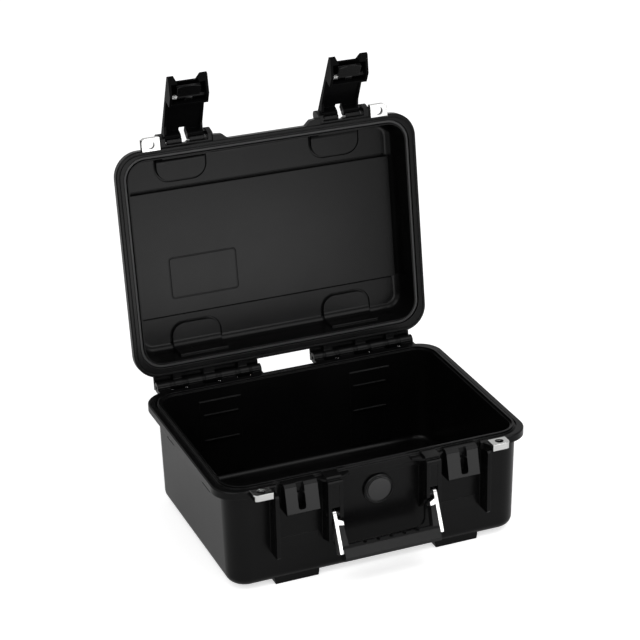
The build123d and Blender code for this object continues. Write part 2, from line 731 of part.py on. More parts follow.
def make_lid_gasket():
    """Gasket in the lid's groove, with a rounded lip towards the tongue."""
    z_span = (RIM_TOP + TONGUE_HEIGHT + GASKET_SQUEEZE_GAP, seal_groove_top())
    side = SEAL_SIDE_GAP - GASKET_SIDE_CLEARANCE
    gasket = opening_ring(TONGUE_SETBACK - side, TONGUE_SETBACK + TONGUE_WIDTH + side, z_span)
    return chamfer(gasket.edges().group_by(Axis.Z)[0], 1.0)


def lid_lug(x_span):
    """Lug on the lid's front that carries a latch pin."""
    outline = (
        (-HALF_DEPTH + LUG_RADIUS / 3, MATING_Z + LUG_RADIUS / 2),
        (LATCH_PIVOT_Y - LUG_RADIUS / 3, MATING_Z + LUG_RADIUS / 2),
        (LATCH_PIVOT_Y - LUG_RADIUS, LATCH_PIVOT_Z - LUG_RADIUS / 2),
        (LATCH_PIVOT_Y - LUG_RADIUS, LATCH_PIVOT_Z),
        (LATCH_PIVOT_Y + LUG_RADIUS * 0.5, LATCH_PIVOT_Z + LUG_RADIUS * 0.87),
        (-HALF_DEPTH + LUG_RADIUS * 1.5, MATING_Z + RIM_THICK + LUG_RADIUS * 2),
        (-HALF_DEPTH + LUG_RADIUS * 2.3, MATING_Z + RIM_THICK - LUG_RADIUS / 3),
    )
    return prism(outline, x_span) + rod(x_span, LATCH_PIVOT_Y, LATCH_PIVOT_Z, LUG_RADIUS)


def lug_bridge():
    """Thin wall on the lid's rim behind the latch eyes, notched in the middle."""
    front = LATCH_PIVOT_Y + LATCH_EYE_RADIUS + BRIDGE_GAP
    foot_z, bend_z, top_z = MATING_Z + RIM_THICK / 3, LATCH_PIVOT_Z + 2, LATCH_PIVOT_Z + BRIDGE_RISE
    lean = BRIDGE_THICK * 1.1
    outline = (
        (-HALF_DEPTH + WALL, foot_z),
        (front, foot_z),
        (front, bend_z),
        (front + lean, top_z),
        (front + lean + BRIDGE_THICK, top_z),
        (front + BRIDGE_THICK, bend_z),
        (front + BRIDGE_THICK, MATING_Z + RIM_THICK),
        (-HALF_DEPTH + WALL, MATING_Z + RIM_THICK - 0.5),
    )
    bridge = prism(outline, (LUG_INNER[1] - 1, LUG_OUTER[0] + 1))
    notch = LATCH_WINDOW / 2
    return bridge - block(
        (LATCH_X - notch, LATCH_X + notch), (front - 1, -HALF_DEPTH + 2 * WALL), (MATING_Z + RIM_THICK + 1, top_z + 1)
    )


def lid_front_bosses():
    """Latch lugs with the wall between them, the fairing beside them and the padlock boss of one side."""
    body = lid_lug(LUG_INNER) + lid_lug(LUG_OUTER) + lug_bridge()
    z_span = (MATING_Z + EYE_SHEET, MATING_Z + EYE_HEIGHT)
    start = LATCH_X + FAIRING_RUN
    corners = (
        (start, -HALF_DEPTH + WALL / 2),
        (start + RIM_THICK, -HALF_DEPTH - PIVOT_AHEAD * 0.8),
        (LUG_INNER[0] + 1, -HALF_DEPTH - PIVOT_AHEAD * 0.93),
        (LUG_INNER[0] + 1, -HALF_DEPTH + WALL / 2),
    )
    fairing_face = Face(Wire.make_polygon([(x, y, MATING_Z + 1) for x, y in corners], close=True))
    body += Solid.extrude(fairing_face, Vector(0, 0, RIM_THICK - 1))
    boss = block((LUG_OUTER[1] - 1, EYE_OUTER), (EYE_FRONT + EYE_SHEET, -HALF_DEPTH + WALL * 0.75), z_span)
    body += boss - eye_hole(z_span, EYE_BOSS_HOLE_RADIUS)
    pin_span = (LUG_INNER[0] + 2, LUG_OUTER[1] - 2)
    return body - rod(pin_span, LATCH_PIVOT_Y, LATCH_PIVOT_Z, LATCH_PIN_RADIUS + PIN_CLEARANCE)


def latch_point(down, out):
    """(y, z) in the closed case of a point that is down along the lever and out from its pivot."""
    return (LATCH_PIVOT_Y - out, LATCH_PIVOT_Z - down)


def latch_prism(points, x_span):
    """Prism along the lever's width from (down, out) points, about the lever's own middle."""
    spans = (LATCH_X + x_span[0], LATCH_X + x_span[1])
    return prism([latch_point(down, out) for down, out in points], spans)


def latch_rod(x_span, down, out, radius):
    """Cylinder across the lever."""
    y, z = latch_point(down, out)
    return rod((LATCH_X + x_span[0], LATCH_X + x_span[1]), y, z, radius)


def make_latch_body():
    """Latch lever with eyes, side flanges and a horned head, closed on the right side."""
    half = LATCH_WIDTH / 2
    eye, plate_in, plate_out = LATCH_EYE_RADIUS, LATCH_PLATE_IN, LATCH_PLATE_OUT
    joint = LATCH_HEAD_TOP + HEAD_LEDGE / 2
    plate = latch_prism(
        (
            (-eye * 0.7, plate_in - 1), (-eye * 0.3, plate_out), (joint, plate_out),
            (joint, plate_in), (eye * 0.8, plate_in),
        ),
        (-half, half),
    )
    flange_outline = (
        (0, plate_in + 1), (0, 0), (eye, 0), (eye * 2.8, plate_in * 0.6), (joint, plate_in * 0.9), (joint, plate_in + 1),
    )
    body = plate
    for side in (-1, 1):
        body += latch_prism(flange_outline, sorted((side * half, side * (half - LATCH_FLANGE))))
        barrel = sorted((side * LATCH_WINDOW / 2, side * half))
        body += latch_rod(barrel, 0, 0, eye)
        body += latch_prism(((-eye * 0.7, 0), (-eye * 0.7, plate_in), (eye, plate_in + 1), (eye, 0)), barrel)
    window = LATCH_WINDOW
    body -= latch_prism(
        ((-window, plate_in - window), (-window, plate_out + 2), (window, plate_out + 2), (window, plate_in - window)),
        (-window / 2, window / 2),
    )
    body += latch_head()
    return body - latch_rod((-half - 1, half + 1), 0, 0, LATCH_PIN_RADIUS + PIN_CLEARANCE)


def latch_head():
    """Hollow head of the lever with its horns, the dip between them and the trigger's pocket."""
    half = LATCH_WIDTH / 2
    out, bevel = LATCH_PLATE_OUT, HEAD_SIDE_WALL * 0.6
    outline = (
        (LATCH_HEAD_TOP, LATCH_HEAD_IN), (LATCH_HEAD_TOP, out), (LATCH_TIP - bevel, out), (LATCH_TIP, out - bevel),
        (LATCH_TIP, HEAD_TIP_IN), (HEAD_TAPER_START, LATCH_HEAD_IN),
    )
    head = latch_prism(outline, (-half, half))
    deep = LATCH_HEAD_IN - 1
    pocket_top = LATCH_HEAD_TOP + HEAD_LEDGE
    pocket_half = half - HEAD_SIDE_WALL
    head -= latch_prism(
        (
            (pocket_top, deep), (pocket_top, HEAD_POCKET_FLOOR), (HEAD_POCKET_END, HEAD_POCKET_FLOOR),
            (HEAD_POCKET_END, deep),
        ),
        (-pocket_half, pocket_half),
    )
    wide = half - LATCH_HORN_WIDTH
    narrow = wide - LATCH_HORN_SLOPE
    slope = LATCH_HORN_SLOPE / LATCH_DIP
    tip_z = LATCH_PIVOT_Z - LATCH_TIP
    corners = ((-wide - slope, tip_z - 1), (-narrow, tip_z + LATCH_DIP), (narrow, tip_z + LATCH_DIP), (wide + slope, tip_z - 1))
    front_y = LATCH_PIVOT_Y - out - 1
    dip_face = Face(Wire.make_polygon([(LATCH_X + x, front_y, z) for x, z in corners], close=True))
    head -= Solid.extrude(dip_face, Vector(0, out - LATCH_HEAD_IN + 2, 0))
    down, pin_out = TRIGGER_PIVOT
    for side in (-1, 1):
        wall = sorted((side * (pocket_half + 0.5), side * (pocket_half - (HEAD_PIN_BOSS if side > 0 else 0))))
        head += latch_rod(wall, down, pin_out, TRIGGER_EYE_RADIUS + 0.6)
    reach = half - 1
    return head - latch_rod((-reach, reach), down, pin_out, TRIGGER_PIN_RADIUS + PIN_CLEARANCE)


def make_latch_pin():
    """Two short pins that carry one latch lever in the lid's lugs."""
    window = LATCH_X - LATCH_WINDOW / 2
    inner = rod((LUG_INNER[0] + 2.2, window), LATCH_PIVOT_Y, LATCH_PIVOT_Z, LATCH_PIN_RADIUS)
    window = LATCH_X + LATCH_WINDOW / 2
    outer = rod((window, LUG_OUTER[1] - 2.2), LATCH_PIVOT_Y, LATCH_PIVOT_Z, LATCH_PIN_RADIUS)
    return Compound([inner, outer])


def make_latch_trigger():
    """Release lip in the latch head: a plate with an arched edge on a barrel, and its hook."""
    down, out = TRIGGER_PIVOT
    eye, thick = TRIGGER_EYE_RADIUS, TRIGGER_THICK
    outline = (
        (down, out - thick), (down, out), (down + eye, out + thick * 0.4), (TRIGGER_TIP - thick, out + thick * 0.6),
        (TRIGGER_TIP, out - thick * 0.4), (TRIGGER_TIP, out - thick * 1.4), (down + eye + 1, out - thick),
    )
    lip = latch_prism(outline, (-TRIGGER_HALF_WIDTH, TRIGGER_HALF_WIDTH))
    spring_room = down + SPRING_RADIUS + SPRING_WIRE_RADIUS * 2
    lip -= latch_prism(
        ((down - eye, out - 2 * eye), (down - eye, out + 2 * eye), (spring_room, out + 2 * eye), (spring_room, out - 2 * eye)),
        (-TRIGGER_HALF_WIDTH - 1, TRIGGER_BARREL[0]),
    )
    arch_radius = (TRIGGER_HALF_WIDTH ** 2 + TRIGGER_ARCH ** 2) / (2 * TRIGGER_ARCH)
    tip_z = LATCH_PIVOT_Z - TRIGGER_TIP
    middle = (LATCH_X, LATCH_PIVOT_Y - out - 4 * thick, tip_z + arch_radius)
    lip &= Solid.make_cylinder(arch_radius, 8 * thick, Plane(origin=middle, z_dir=(0, 1, 0)))
    body = lip + latch_rod(TRIGGER_BARREL, down, out, eye)
    body += latch_prism(
        ((HOOK_TOP, out - eye), (HOOK_TOP, out), (down, out + eye * 0.5), (down, out - eye * 1.3)), HOOK_SPAN
    )
    ends = (TRIGGER_BARREL[0] - 1, TRIGGER_BARREL[1] + 1)
    return body - latch_rod(ends, down, out, TRIGGER_PIN_RADIUS + PIN_CLEARANCE)


def make_trigger_pin():
    """Pin of the release lip, through both side walls of the head."""
    reach = LATCH_WIDTH / 2 - HEAD_SIDE_WALL / 2
    return latch_rod((-reach, reach), TRIGGER_PIVOT[0], TRIGGER_PIVOT[1], TRIGGER_PIN_RADIUS)


def biarc(start, start_way, end, end_way):
    """Two arcs that leave the start and reach the end along the given unit directions."""
    chord = end - start
    ways = start_way + end_way
    square = 2 * (1 - start_way.dot(end_way))
    along = chord.dot(ways)
    reach = (-along + math.sqrt(along * along + square * chord.dot(chord))) / square
    joint = (start + end + (start_way - end_way) * reach) * 0.5
    joint_way = (end - end_way * reach) - (start + start_way * reach)
    return [
        Edge.make_tangent_arc(start, start_way, joint),
        Edge.make_tangent_arc(joint, joint_way.normalized(), end),
    ]


def make_trigger_spring():
    """Torsion spring of the release lip: curls of one wire round the pin, beside the head's wall."""
    down, out = TRIGGER_PIVOT
    y, z = latch_point(down, out)
    start_x = LATCH_X - LATCH_WIDTH / 2 + HEAD_SIDE_WALL + SPRING_WALL_GAP + SPRING_WIRE_RADIUS

    def helix_point(turn):
        angle = 2 * math.pi * turn
        return Vector(
            start_x + SPRING_PITCH * turn, y + SPRING_RADIUS * math.cos(angle), z + SPRING_RADIUS * math.sin(angle)
        )

    def helix_way(turn):
        angle = 2 * math.pi * turn
        around = 2 * math.pi * SPRING_RADIUS
        return Vector(SPRING_PITCH, -around * math.sin(angle), around * math.cos(angle)).normalized()

    edges = []
    for step in range(2 * SPRING_TURNS):
        a, b = step / 2, (step + 1) / 2
        edges += biarc(helix_point(a), helix_way(a), helix_point(b), helix_way(b))
    path = Wire(edges)
    section = Plane(origin=helix_point(0), z_dir=helix_way(0)) * RegularPolygon(SPRING_WIRE_RADIUS, SPRING_SIDES)
    least_gap = SPRING_PITCH - 2 * SPRING_WIRE_RADIUS
    print("trigger spring: least gap between curls", round(least_gap, 2), "mm")
    return sweep(section, path=path)


def arm_point(along, forward):
    """(y, z) of a point on the hanging handle, along the arm from its pivot and towards its front."""
    lean = math.radians(HANDLE_REST_ANGLE)
    y = HANDLE_PIVOT_Y - along * math.sin(lean) - forward * math.cos(lean)
    z = HANDLE_PIVOT_Z - along * math.cos(lean) + forward * math.sin(lean)
    return (y, z)


def arm_prism(points, x_span):
    """Prism along X from (along, forward) points of the hanging handle."""
    return prism([arm_point(along, forward) for along, forward in points], x_span)


def arm_box(along, forward, x_span):
    """Box in the hanging handle's own directions."""
    corners = ((along[0], forward[0]), (along[1], forward[0]), (along[1], forward[1]), (along[0], forward[1]))
    return arm_prism(corners, x_span)


def arm_plate(points, forward):
    """Prism along the handle's forward way from (x, along) points of the hanging handle."""
    start = [(x,) + arm_point(along, forward[0]) for x, along in points]
    low, high = arm_point(0, forward[0]), arm_point(0, forward[1])
    return Solid.extrude(Face(Wire.make_polygon(start, close=True)), Vector(0, high[0] - low[0], high[1] - low[1]))


def make_handle_frame():
    """Steel handle frame: two flat arms, a branch over each moulded leg and a strap through the grip."""
    half = ARM_HALF_WIDTH
    span = (ARM_INSIDE, ARM_X + ARM_SHEET / 2)
    arm = arm_box((0, ARM_LENGTH), (-half, half), span) + rod(span, HANDLE_PIVOT_Y, HANDLE_PIVOT_Z, half)
    branch = (
        (ARM_X, BRANCH_ROOT[0]),
        (ARM_INSIDE, BRANCH_ROOT[0]),
        (ARM_INSIDE - BRANCH_REACH, BRANCH_TIP[0]),
        (ARM_INSIDE - BRANCH_REACH, BRANCH_TIP[1]),
        (ARM_INSIDE, BRANCH_ROOT[1]),
        (ARM_X, BRANCH_ROOT[1]),
    )
    arm += arm_plate(branch, (-half, half))
    arm -= rod((span[0] - 1, span[1] + 1), HANDLE_PIVOT_Y, HANDLE_PIVOT_Z, HANDLE_PIN_RADIUS + PIN_CLEARANCE)
    strap = arm_box((ARM_LENGTH - STRAP_DEPTH, ARM_LENGTH), (-half, half), (-ARM_X, ARM_X))
    return arm + mirrored(arm) + strap


def make_handle_grip():
    """Moulded grip: bevelled bar with notches and a leg beside each steel arm."""
    end = ARM_INSIDE - GRIP_END_GAP
    bar = arm_box((GRIP_TOP, GRIP_BOTTOM), (GRIP_BACK, GRIP_FRONT), (-end, end))
    bar = chamfer(bar.edges().filter_by(Axis.X), GRIP_BEVEL)
    leg = arm_plate(
        (
            (ARM_INSIDE, BRANCH_CENTRE),
            (ARM_INSIDE - LEG_TOP_THICK, BRANCH_CENTRE),
            (ARM_INSIDE - LEG_BOTTOM_THICK, GRIP_TOP + GRIP_BEVEL),
            (ARM_INSIDE, GRIP_TOP + GRIP_BEVEL),
        ),
        (-ARM_HALF_WIDTH, ARM_HALF_WIDTH),
    )
    grip = bar + leg + mirrored(leg)
    lean = math.radians(HANDLE_REST_ANGLE)
    way = Vector(0, -math.cos(lean), math.sin(lean))
    reach = GRIP_FRONT - GRIP_BACK
    y, z = arm_point(GRIP_TOP, 0)
    notch = Solid.make_cylinder(GRIP_NOTCH_RADIUS, 2 * reach, Plane.XY)
    for number in range(GRIP_NOTCHES):
        x = (number - (GRIP_NOTCHES - 1) / 2) * GRIP_NOTCH_PITCH
        grip -= Plane(origin=Vector(x, y, z) - way * reach, z_dir=way) * notch
    return grip - make_handle_frame()


def make_handle_pin():
    """Pin that carries one handle arm in its bracket."""
    return rod((BRACKET_INNER + 0.5, BRACKET_OUTER - 0.5), HANDLE_PIVOT_Y, HANDLE_PIVOT_Z, HANDLE_PIN_RADIUS)


def valve_parts():
    """Pressure valve through the front wall: body, seal, cap, membrane and nut."""
    flange_back = PANEL_FACE - VALVE_SEAL_WIRE * 0.5
    flange_front = flange_back - VALVE_FLANGE_THICK
    body = disc(flange_front, flange_back, VALVE_Z, VALVE_FLANGE_RADIUS)
    body = chamfer(body.edges().sort_by(Axis.Y)[0], VALVE_FLANGE_BEVEL)
    body += disc(flange_back - 0.5, flange_back + VALVE_SHANK_LENGTH, VALVE_Z, VALVE_SHANK_RADIUS)
    body -= disc(flange_front - 1, flange_front + VALVE_CAP_SEAT, VALVE_Z, VALVE_CAP_RADIUS + VALVE_CAP_GAP)
    body -= disc(flange_front - 1, flange_back + VALVE_SHANK_LENGTH + 1, VALVE_Z, VALVE_BORE_RADIUS)
    membrane_seat = flange_front + VALVE_CAP_SEAT
    membrane = disc(membrane_seat, membrane_seat + VALVE_MEMBRANE_THICK, VALVE_Z, VALVE_BORE_RADIUS + 2)
    body -= membrane
    cap = disc(flange_front - VALVE_CAP_RISE, membrane_seat, VALVE_Z, VALVE_CAP_RADIUS)
    cap = chamfer(cap.edges().sort_by(Axis.Y)[0], VALVE_CAP_CHAMFER)
    hole_radius = VALVE_SHANK_RADIUS + VALVE_HOLE_CLEARANCE
    seal = disc(flange_back, PANEL_FACE, VALVE_Z, hole_radius + 3) - disc(
        flange_back - 1, PANEL_FACE + 1, VALVE_Z, hole_radius
    )
    inner_wall = -HALF_DEPTH + OPENING_FRONT
    nut_back = inner_wall + 1.2
    plane = Plane(origin=(0, nut_back, VALVE_Z), x_dir=(1, 0, 0), z_dir=(0, 1, 0))
    nut = extrude(plane * RegularPolygon(VALVE_NUT_RADIUS, 6), amount=VALVE_NUT_THICK)
    nut -= disc(nut_back - 1, nut_back + VALVE_NUT_THICK + 1, VALVE_Z, VALVE_SHANK_RADIUS + PIN_CLEARANCE)
    return {"valve_body": body, "valve_seal": seal, "valve_cap": cap, "valve_membrane": membrane, "valve_nut": nut}


def make_hinge_pin():
    """Pin of one hinge group."""
    ends = (BASE_KNUCKLES[0][0] + HINGE_PIN_END, BASE_KNUCKLES[-1][1] - HINGE_PIN_END)
    return rod(ends, HINGE_Y, HINGE_Z, HINGE_PIN_RADIUS)


def swung(shape, angle):
    """Turn a closed latch about its pivot to where it rests, before the lid is opened."""
    return shape.rotate(Axis((0, LATCH_PIVOT_Y, LATCH_PIVOT_Z), (1, 0, 0)), -angle)


def all_parts():
    """Every node of the case, by name."""
    parts = {
        "base_shell": make_base_shell(),
        "lid_shell": opened(make_lid_shell()),
        "lid_gasket": opened(make_lid_gasket()),
        "handle_frame": make_handle_frame(),
        "handle_grip": make_handle_grip(),
    }
    parts.update(valve_parts())
    latch_pieces = {
        "latch_body": make_latch_body(),
        "latch_trigger": make_latch_trigger(),
        "trigger_pin": make_trigger_pin(),
        "trigger_spring": make_trigger_spring(),
    }
    open_angles = {"left": LATCH_OPEN_LEFT, "right": LATCH_OPEN_RIGHT}
    for name, side in SIDES.items():
        def placed(shape):
            return shape if side > 0 else mirrored(shape)

        def carried(shape):
            return shape if side > 0 else Pos(-2 * LATCH_X, 0, 0) * shape

        parts["hinge_pin_" + name] = placed(make_hinge_pin())
        parts["handle_pin_" + name] = placed(make_handle_pin())
        parts["base_padlock_plate_" + name] = placed(eye_plate(RIM_TOP, -1))
        parts["lid_padlock_plate_" + name] = opened(placed(eye_plate(MATING_Z, 1)))
        parts["latch_pin_" + name] = opened(placed(make_latch_pin()))
        for piece, shape in latch_pieces.items():
            parts[piece + "_" + name] = opened(swung(carried(shape), open_angles[name]))
    return parts


def centred(parts):
    """Move every part alike, so that the origin is under the middle of the case as it stands."""
    boxes = [shape.bounding_box() for shape in parts.values()]
    middle = (min(box.min.Y for box in boxes) + max(box.max.Y for box in boxes)) / 2
    print("moved along y by", round(-middle, 3), "mm")
    return {node: Pos(0, -middle, 0) * shape for node, shape in parts.items()}


os.makedirs("parts", exist_ok=True)
for node, shape in centred(all_parts()).items():
    export_step(shape, f"parts/{node}.step")
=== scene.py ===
"""Scene of the waterproof equipment case: finishes, small moulded details, lights and camera.

Everything is in metres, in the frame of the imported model: +Z up, +X to the right, the front towards -Y.
"""
import math
import bpy
from mathutils import Matrix, Vector


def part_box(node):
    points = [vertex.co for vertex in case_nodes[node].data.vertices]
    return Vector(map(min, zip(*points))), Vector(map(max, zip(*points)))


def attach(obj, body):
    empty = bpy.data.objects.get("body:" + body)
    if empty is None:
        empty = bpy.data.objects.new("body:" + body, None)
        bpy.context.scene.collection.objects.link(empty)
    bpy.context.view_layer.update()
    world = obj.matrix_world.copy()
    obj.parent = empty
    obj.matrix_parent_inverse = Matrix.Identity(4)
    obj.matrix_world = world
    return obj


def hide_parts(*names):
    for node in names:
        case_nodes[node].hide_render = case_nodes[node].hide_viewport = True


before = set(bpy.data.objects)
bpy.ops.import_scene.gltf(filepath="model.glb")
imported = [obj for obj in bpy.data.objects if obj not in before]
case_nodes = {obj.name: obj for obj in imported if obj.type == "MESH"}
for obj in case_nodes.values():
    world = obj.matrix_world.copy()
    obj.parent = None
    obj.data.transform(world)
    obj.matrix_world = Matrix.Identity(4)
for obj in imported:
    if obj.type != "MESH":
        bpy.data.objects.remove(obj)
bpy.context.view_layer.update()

MM = 0.001
PHOTO_SIDE = 640

# Depth of the moulded grain and of the metal's lines, in metres
GRAIN_RELIEF = 0.0002
LINE_RELIEF = 0.0001

# Points closer than this are one, and an edge that rises by more is upright, in metres
MERGE_REACH = 1e-6
UPRIGHT_RISE = 1e-5

# Camera that the photograph's edges give, in millimetres and pixels
CAMERA_PLACE = (-832.65, -2085.21, 1240.72)
CAMERA_RIGHT = (0.91879, -0.39456, -0.01238)
CAMERA_UP = (0.18060, 0.39225, 0.90196)
FOCAL_PIXELS = 2163.3
AXIS_PIXEL = (362.1, 373.6)
SENSOR_WIDTH = 36.0

# Strength of the white surroundings, in a gloss and for everything else, and of the floor's own glow
WORLD_LIGHT = 0.45
WORLD_IN_GLOSS = 0.7
FLOOR_GLOW = 0.62
FLOOR_GLOW_IN_GLOSS = 0.15
FLOOR_SIZE = 24
FLOOR_DROP = 0.0002

# Soft lamps: name, place, aim and size in metres, power in watts
LAMPS = (
    ("key lamp", (-1.3, -1.0, 1.9), (0, 0, 0.15), (1.6, 1.6), 14.0),
    ("top lamp", (0.8, -0.9, 1.9), (0, 0.05, 0.1), (1.2, 1.2), 11.0),
    ("front lamp", (0.22, -0.8, 0.1), (0.02, 0.14, 0.2), (0.5, 0.22), 1.35),
    ("far lamp", (0.4, -1.9, 0.35), (0.0, 0.14, 0.22), (1.1, 0.5), 5.0),
)

# Where the case stands: the part's own shift, and its hinge axis as (y, z), in millimetres
CASE_SHIFT = -27.522
HINGE_AXIS = (147.0, 129.5)
LID_OPEN_ANGLE = 97.8

# Lines cut into the lid, in millimetres of the closed case before its shift
LID_FACE = 130.0
LID_CEILING = 170.0
FIELD_CEILING = 165.0
CUTTER_START = 2.0
CUTTER_REACH = 70.0
LINE_WIDTH = 2.3
LINE_DEPTH = 1.9
PAD_SPAN = (67.0, 127.0)
PAD_CORNER = 16.0
FRONT_PAD_END = -88.0
BACK_PAD_END = 86.0
FRONT_LINE_START = -114.5
BACK_LINE_START = 110.5
FIELD_FRONT = -77.0
FIELD_BACK = 73.5
FIELD_REACH = 160.0
FIELD_FRONT_LINE = 2.99
LABEL_MIDDLE = (-82.0, 29.0)
LABEL_SIZE = (84.4, 50.4)
LABEL_CORNER = 4.2
LABEL_LINE_WIDTH = 1.4
LABEL_LINE_DEPTH = 0.8
RIM_HALF = (187.0, 135.5)
RIM_CORNER = 30.0
RIM_LINE_INSET = 3.4
RIM_LINE_WIDTH = 1.4
RIM_LINE_DEPTH = 1.2
CORNER_STEPS = 10

# Hinge collars and the leaf under the lid's knuckles, as spans of x away from the middle, y and z
HINGE_GAPS = ((46.0, 49.5), (61.0, 67.0), (85.0, 91.0), (104.5, 108.5), (126.5, 132.0), (142.5, 148.5))
COLLAR_RADIUS = 5.9
COLLAR_PLAY = 0.25
COLLAR_SIDES = 40
COLLAR_LAND = 0.3
COLLAR_GROOVE = 0.45
COLLAR_ROUND = 0.3
LID_KNUCKLE_ROOM = ((46.0, 67.0), (85.0, 108.5), (126.5, 148.5))
LEAF_DEPTH = (134.5, 148.2)
LEAF_HEIGHT = (118.6, 122.8)

# Sills under the latch eyes, their run measured from the latch's middle
LATCH_X = 97.5
SILL_RUN = (4.6, 23.0)
SILL_DEPTH = (-142.2, -136.6)
SILL_HEIGHT = (137.4, 139.6)
SILL_ROUND = 0.6

# Wound spring and turned valve cap; a step is a share of the radius and its depth behind the front
SPRING_WIRE = 0.6
SPRING_WIRE_SIDES = 10
SPRING_CURLS = 4
SPRING_CURL_STEPS = 20
CAP_SIDES = 64
CAP_STEPS = (
    (1.0, 0.9), (0.985, 0.7), (0.975, 2.2), (0.89, 2.2), (0.88, 0.5), (0.86, 0.32), (0.6, 0.14), (0.3, 0.03),
    (0.05, 0.0),
)


def put_camera():
    """Camera at the photograph's place, with the small shift that its framing needs."""
    right = Vector(CAMERA_RIGHT).normalized()
    up = Vector(CAMERA_UP)
    up = (up - right * up.dot(right)).normalized()
    back = right.cross(up)
    turn = Matrix((right, up, back)).transposed().to_4x4()
    data = bpy.data.cameras.new("camera")
    data.sensor_width = SENSOR_WIDTH
    data.lens = FOCAL_PIXELS / PHOTO_SIDE * SENSOR_WIDTH
    data.shift_x = (PHOTO_SIDE / 2 - AXIS_PIXEL[0]) / PHOTO_SIDE
    data.shift_y = (AXIS_PIXEL[1] - PHOTO_SIDE / 2) / PHOTO_SIDE
    data.clip_start = 0.05
    data.clip_end = 60
    camera = bpy.data.objects.new("camera", data)
    camera.matrix_world = Matrix.Translation(Vector(CAMERA_PLACE) * MM) @ turn
    bpy.context.scene.collection.objects.link(camera)
    bpy.context.scene.camera = camera


# Shared effects, as node groups

def effect_group(name, inputs, outputs):
    """Empty node group with float, colour or vector sockets; inputs hold (name, kind, value)."""
    group = bpy.data.node_groups.new(name, "ShaderNodeTree")
    for label, kind, value in inputs:
        socket = group.interface.new_socket(name=label, in_out="INPUT", socket_type="NodeSocket" + kind)
        socket.default_value = value
    for label, kind in outputs:
        group.interface.new_socket(name=label, in_out="OUTPUT", socket_type="NodeSocket" + kind)
    entry = group.nodes.new("NodeGroupInput")
    leave = group.nodes.new("NodeGroupOutput")
    return group, entry, leave


def put(tree, kind, links=None, **settings):
    """Node in a tree; settings are its properties, and links feed its inputs from sockets or values."""
    node = tree.nodes.new(kind)
    for key, value in settings.items():
        setattr(node, key, value)
    for key, source in (links or {}).items():
        socket = node.inputs[key]
        if isinstance(source, bpy.types.NodeSocket):
            tree.links.new(source, socket)
        else:
            socket.default_value = source
    return node


def sums(tree, operation, first, second=0.5, third=0.5, clamp=False):
    """Output of a maths node."""
    links = {0: first, 1: second}
    if operation == "MULTIPLY_ADD":
        links[2] = third
    return put(tree, "ShaderNodeMath", links, operation=operation, use_clamp=clamp).outputs[0]


def spread(tree, value, low, high, to_low=0.0, to_high=1.0):
    """Output of a clamped range node."""
    links = {"Value": value, "From Min": low, "From Max": high, "To Min": to_low, "To Max": to_high}
    return put(tree, "ShaderNodeMapRange", links).outputs["Result"]


def spot_noise(tree, place, scale, detail=2.0, rough=0.5):
    """Output of a noise node."""
    links = {"Vector": place, "Scale": scale, "Detail": detail, "Roughness": rough}
    return put(tree, "ShaderNodeTexNoise", links).outputs["Fac"]


def make_moulded_grain():
    """Fine spark-eroded grain of moulded plastic, with slow flow marks."""
    group, entry, leave = effect_group(
        "moulded grain",
        [("Grain Scale", "Float", 1500.0), ("Flow Scale", "Float", 14.0)],
        [("Height", "Float"), ("Flow", "Float")],
    )
    place = put(group, "ShaderNodeTexCoord").outputs["Object"]
    fine = spot_noise(group, place, entry.outputs["Grain Scale"], 3.0, 0.6)
    half_scale = sums(group, "MULTIPLY", entry.outputs["Grain Scale"], 0.35)
    coarse = spot_noise(group, place, half_scale, 2.0)
    height = sums(group, "MULTIPLY_ADD", coarse, 0.6, fine)
    flow = spot_noise(group, place, entry.outputs["Flow Scale"], 4.0, 0.55)
    group.links.new(height, leave.inputs["Height"])
    group.links.new(spread(group, flow, 0.3, 0.7), leave.inputs["Flow"])
    return group


def make_edge_rub():
    """Edge mask: where the rounded normal leaves the face's own, broken up by noise; it places rubbed wear,
    and on the trigger a painted highlight along the edges.
    """
    group, entry, leave = effect_group(
        "edge rub",
        [("Width", "Float", 0.001), ("Patch Scale", "Float", 90.0)],
        [("Mask", "Float"), ("Normal", "Vector")],
    )
    rounded = put(group, "ShaderNodeBevel", {"Radius": entry.outputs["Width"]}, samples=6)
    face = put(group, "ShaderNodeNewGeometry").outputs["Normal"]
    dot = put(group, "ShaderNodeVectorMath", {0: rounded.outputs["Normal"], 1: face}, operation="DOT_PRODUCT")
    bend = sums(group, "SUBTRACT", 1.0, dot.outputs["Value"])
    place = put(group, "ShaderNodeTexCoord").outputs["Object"]
    patches = spread(group, spot_noise(group, place, entry.outputs["Patch Scale"], 3.0), 0.35, 0.65)
    mask = sums(group, "MULTIPLY", spread(group, bend, 0.02, 0.25), patches)
    group.links.new(mask, leave.inputs["Mask"])
    group.links.new(rounded.outputs["Normal"], leave.inputs["Normal"])
    return group


def make_settled_dust():
    """Thin dust on faces that look up when the case stands as it does here."""
    group, entry, leave = effect_group(
        "settled dust",
        [("Amount", "Float", 0.5), ("Scale", "Float", 60.0)],
        [("Mask", "Float")],
    )
    coordinates = put(group, "ShaderNodeTexCoord")
    parts = put(group, "ShaderNodeSeparateXYZ", {0: coordinates.outputs["Normal"]})
    upward = spread(group, parts.outputs["Z"], 0.5, 1.0)
    specks = spot_noise(group, coordinates.outputs["Object"], entry.outputs["Scale"], 5.0, 0.6)
    mask = sums(group, "MULTIPLY", upward, spread(group, specks, 0.4, 0.8))
    group.links.new(sums(group, "MULTIPLY", mask, entry.outputs["Amount"]), leave.inputs["Mask"])
    return group


